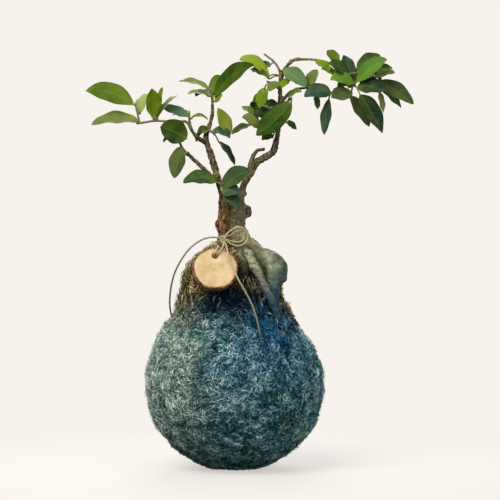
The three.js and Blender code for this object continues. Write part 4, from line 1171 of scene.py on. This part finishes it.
def make_tree(finish):
    """Roots, trunk and branches in one piece, with the relief of their bark and painted shade in its
    furrows, pits and creases.
    """
    mesh = tree_skin()
    points = read(mesh.vertices, "co") / MM
    height, furrow, root = bark_relief(points)
    points = points + read(mesh.vertices, "normal") * height[:, None]
    write(mesh.vertices, "co", points * MM)
    mesh.update()
    front, crease_shade = root_marks(points, root)
    # Painted shade: the furrows and pits, and the creases and cleft by the front root
    relief = np.maximum(furrow, 0.75 * crease_shade)
    place_piece("tree_bark", mesh, finish, "bark", "tree", relief=relief, front=front)


def leaf_finish():
    """Waxy leaf: its own green with broad patches of painted shade, a painted highlight on one half and a
    darker rim, a paler foot, midrib and side veins, duller below."""
    finish = Finish("leaf")
    place = finish.place()
    green = finish.attribute("green", out=0)
    along, across, under = finish.split(finish.attribute("blade", out=1))
    width = abs(across)
    rib = 1 - finish.step(width, 0.02, 0.08)
    wave = ((along - width * VEIN_SLANT) * VEIN_WAVES).math("SINE")
    veins = finish.step(width, 0.06, 0.2) * (1 - finish.step(width, 0.75, 1.0))
    veins = finish.step(wave, 0.72, 1.0) * veins
    mottle, broad = finish.noise(place, 180, 4), finish.noise(place, 55, 2)
    lighter, darker, dull = (finish.layers(green, coat) for coat in (
        (0.5, "leaf_light"), (0.55, "leaf_dark"), (0.4, "leaf_dull")))
    colour = finish.layers(
        green,
        (finish.step(mottle, 0.35, 0.75) * 0.14, lighter),
        (veins * 0.08, lighter),
        ((1 - finish.step(along, 0.0, 0.4)) * 0.22, lighter),
        # Painted highlight: one half of each blade, to one side of the midrib, is lighter as if lit
        (finish.step(across, -0.12, 0.12) * 0.09, lighter),
        # Painted shade in broad random patches across the leaves
        (finish.step(broad, 0.45, 0.7) * 0.4, darker),
        (finish.step(width, 0.82, 1.0) * 0.3, darker),
        (rib * (1 - 0.6 * along) * 0.3, lighter),
        (under * 0.85, dull),
    )
    relief = 0.12 * finish.noise(place, 900, 2) - rib * 0.6 - veins * 0.35
    return finish.surface(colour, 0.46 + 0.2 * under + 0.1 * mottle, relief, 0.35, specular=0.05)


def blade_line(start, end, along, seen_share, lift):
    """Centre line of a blade on an arc, with its side and face directions. It is turned about its
    line until the seen share of its width shows from the front, to the side that looks up more."""
    middle = (start + end) / 2 + [0, 0, 2 * lift]
    centre = (1 - along) ** 2 * start + 2 * along * (1 - along) * middle + along ** 2 * end
    tangent = unit(2 * (1 - along) * (middle - start) + 2 * along * (end - middle))
    front = np.array([0.0, -1.0, 0.0])
    face = unit(front - tangent * (tangent @ front)[:, None])
    turn = np.arccos(min(1, seen_share))
    sideways = np.cross(tangent, face)
    one, other = (face * np.cos(turn) + sideways * np.sin(turn) * sign for sign in (1, -1))
    normal = np.where(one[:, 2:] >= other[:, 2:], one, other)
    return centre, np.cross(tangent, normal), normal


def leaf_blade(base, tip, width, seen, lift, wave):
    """Closed thin blade. Its half width is a power of a sine along it, its edges fold up from the
    midrib and wave a little. The other value tells each point's place along and across and its side."""
    along = np.linspace(0, 1, LEAF_STEPS)[:, None]
    across = np.sin(np.linspace(-np.pi / 2, np.pi / 2, LEAF_POINTS))
    centre, side, normal = blade_line(base, tip, along, seen / width, lift)
    roundness = np.clip(width / lengths(tip - base) - 0.4, 0, 0.5)
    outline = np.clip(np.sin(np.pi * along ** 0.92), 0, 1) ** (0.78 - 0.4 * roundness)
    half = np.maximum(0.5 * width * outline, 0.3)
    fold = LEAF_FOLD * half * (np.sqrt(across ** 2 + 0.02) - 0.14)
    ripple = 0.032 * width * np.sin(2 * np.pi * (2.3 * along + wave)) * across ** 2 * np.sign(across + 1e-9)
    veins = np.sin(VEIN_WAVES * (along - VEIN_SLANT * np.abs(across))) * (1 - across ** 2)
    relief = fold + ripple + 0.05 * veins * np.minimum(1, half / 4)
    groove = 0.16 * np.exp(-(across * half / 0.5) ** 2)
    thick = 0.5 * (1 - 0.7 * across ** 2) * np.minimum(1, half / 2.5) + 0.06
    rib = 0.45 * np.exp(-(across * half / 0.7) ** 2) * (1 - 0.7 * along)
    spread = centre[:, None] + side[:, None] * (half * across)[..., None]
    top = spread + normal[:, None] * (relief - groove + thick / 2)[..., None]
    bottom = spread + normal[:, None] * (relief - thick / 2 - rib)[..., None]
    upper, lower = (np.stack(np.broadcast_arrays(along, across, below), axis=-1) for below in (0.0, 1.0))
    marks = np.concatenate([upper[:, ::-1], lower], axis=1).reshape(-1, 3)
    body = capped_rings(np.concatenate([top[:, ::-1], bottom], axis=1))
    return body, np.concatenate([[[0, 0, 0]], marks, [[1, 0, 0]]])


def leaf_stalk(base, tip, stems):
    """Stalk from the nearest place on the spray's stems to a little way into the leaf."""
    places = np.concatenate([smooth_route(stem, 12)[4:, :3] for stem in stems])
    root = places[np.argmin(lengths(places - base))]
    bend = (root + base) / 2 + [0, 0, 0.12 * lengths(root - base)]
    into = base + 0.12 * (tip - base)
    return limb([(*root, 0.7), (*bend, 0.6), (*base, 0.62), (*into, 0.3)], 8, 4)


def bud(stem):
    """Pointed bud on the tip of a stem, in line with its last stretch."""
    before, tip = np.array(stem)[-2:, :3]
    way = unit(tip - before)
    return limb([(*(tip + way * far), radius) for far, radius in BUD], 8, 3)


def make_spray(name, stems, leaves, leaf_material, stem_material):
    """Leafy spray: its blades in one piece, and its stems and leaf stalks in another."""
    rng = np.random.default_rng(len(name) + 31 * len(leaves))
    blades, marks, greens = [], [], []
    wood = [limb(stem, 10, 5) for stem in stems] + [bud(stem) for stem in stems]
    for *ends, width, seen, lift, green in leaves:
        base, tip = np.array(ends, dtype=float).reshape(2, 3)
        body, mark = leaf_blade(base, tip, width, seen, lift, rng.random())
        shade = np.array(srgb(*GREENS[green])[:3]) * rng.uniform(0.85, 1.15)
        blades.append(body)
        marks.append(mark)
        greens.append(np.tile(shade, (len(mark), 1)))
        wood.append(leaf_stalk(base, tip, stems))
    make_piece(name + "_leaves", joined(blades), leaf_material, "leaf", name,
               blade=np.concatenate(marks), green=np.concatenate(greens))
    make_piece(name + "_stems", joined(wood), stem_material, "leaf")


def slice_finish():
    """Sawn face of the wood slice: growth rings round a pith off its centre, fine rays and a warm rim."""
    finish = Finish("sawn_wood")
    local = finish.attribute("local", out=1)
    x, y, _ = finish.split(local)
    radius = ((x - PITH[0]) ** 2 + (y - PITH[1]) ** 2) ** 0.5
    drift = finish.noise(local, 0.1, 2)
    rings = ((radius + 5 * drift + 0.05 * radius ** 1.6) * 3.1).math("SINE")
    grain, worn = finish.noise(local, 1.6, 5), finish.noise(local, 0.12)
    tone = 0.5 + 0.07 * rings + 0.5 * (grain - 0.5) + 0.9 * (worn - 0.5)
    colour = finish.layers(
        finish.ramp(tone, "sawn_wood"),
        (finish.step(radius, 13.5, 18) * 0.28, "slice_rim"),
        ((1 - finish.step(radius, 0.3, 1.2)) * 0.5, "slice_pith"),
    )
    return finish.surface(colour, 0.62, 0.5 * rings + grain, 0.12, specular=0.3)


def slice_outline(angle, inset):
    """Radius of the slice's uneven outline at an angle, less an inset."""
    return TAG_RADIUS - inset + 0.45 * np.sin(2 * angle + 0.6) + 0.25 * np.sin(5 * angle)


def make_slice(finish):
    """Wood slice: for every angle a closed loop of points runs from the hole's front edge across the
    face to the rim, round it, back across the back and through the hole."""
    turn = circle(SLICE_SIDES)
    hole = TAG_HOLE[:2] + polar(turn, TAG_HOLE[2])
    rim = polar(turn, slice_outline(turn, 1.3))
    shares = np.concatenate([[0.0, 0.02], np.linspace(0.1, 0.98, 14), [1.0]])
    heights = np.full(len(shares), TAG_THICKNESS / 2)
    heights[0] -= 0.25
    heights[-1] -= 0.2
    loop = zip([*shares, *shares[::-1]], [*heights, *-heights[::-1]])
    rings = [np.column_stack([hole + (rim - hole) * share, np.full(SLICE_SIDES, height)])
             for share, height in loop]
    local = np.stack(rings)[:, ::-1]
    make_piece("tag_face", looped_rings(place_on_tag(local)), finish, "tag_wood", "wood_tag",
               local=local.reshape(-1, 3))


def make_slice_bark(finish):
    """Bark round the slice, red-brown and rough: a ring whose section is a flattened loop."""
    rng = np.random.default_rng(SLICE_SEED)
    around, section = circle(BARK_SIDES)[:, None], circle(BARK_LOOP)
    rough = 0.35 * rng.random((BARK_SIDES, BARK_LOOP)) + 0.15 * np.sin(9 * around + 1.3)
    out = slice_outline(around, 1.1) + (0.75 + rough) * np.cos(section)
    high = (TAG_THICKNESS / 2 + 0.12) * np.sign(np.sin(section)) * np.abs(np.sin(section)) ** 0.35
    high = high + 0.15 * rng.random((BARK_SIDES, BARK_LOOP))
    bark = np.concatenate([polar(around, out), high[..., None]], axis=2)
    make_piece("tag_bark", looped_rings(place_on_tag(bark)), finish, "tag_wood")


bpy.context.scene.view_settings.view_transform = "Standard"
set_camera()
make_strings()
set_lights()
set_world()
set_floor()
make_ball_base(moss_finish("dyed", "felt", dyed_moss_colour))
make_ball_fibres(moss_finish("dyed", "fibres", dyed_moss_colour))
make_mound_base(moss_finish("brown", "felt", brown_moss_colour))
make_mound_fibres(moss_finish("brown", "fibres", brown_moss_colour))
make_root_hairs(grain_finish("root_hair"))
make_tree(bark_finish())
leaf_material = leaf_finish()
stem_material = grain_finish("young_stem")
for spray_name, (spray_stems, spray_leaves) in SPRAYS.items():
    make_spray(spray_name, spray_stems, spray_leaves, leaf_material, stem_material)
make_slice(slice_finish())
make_slice_bark(grain_finish("slice_bark"))
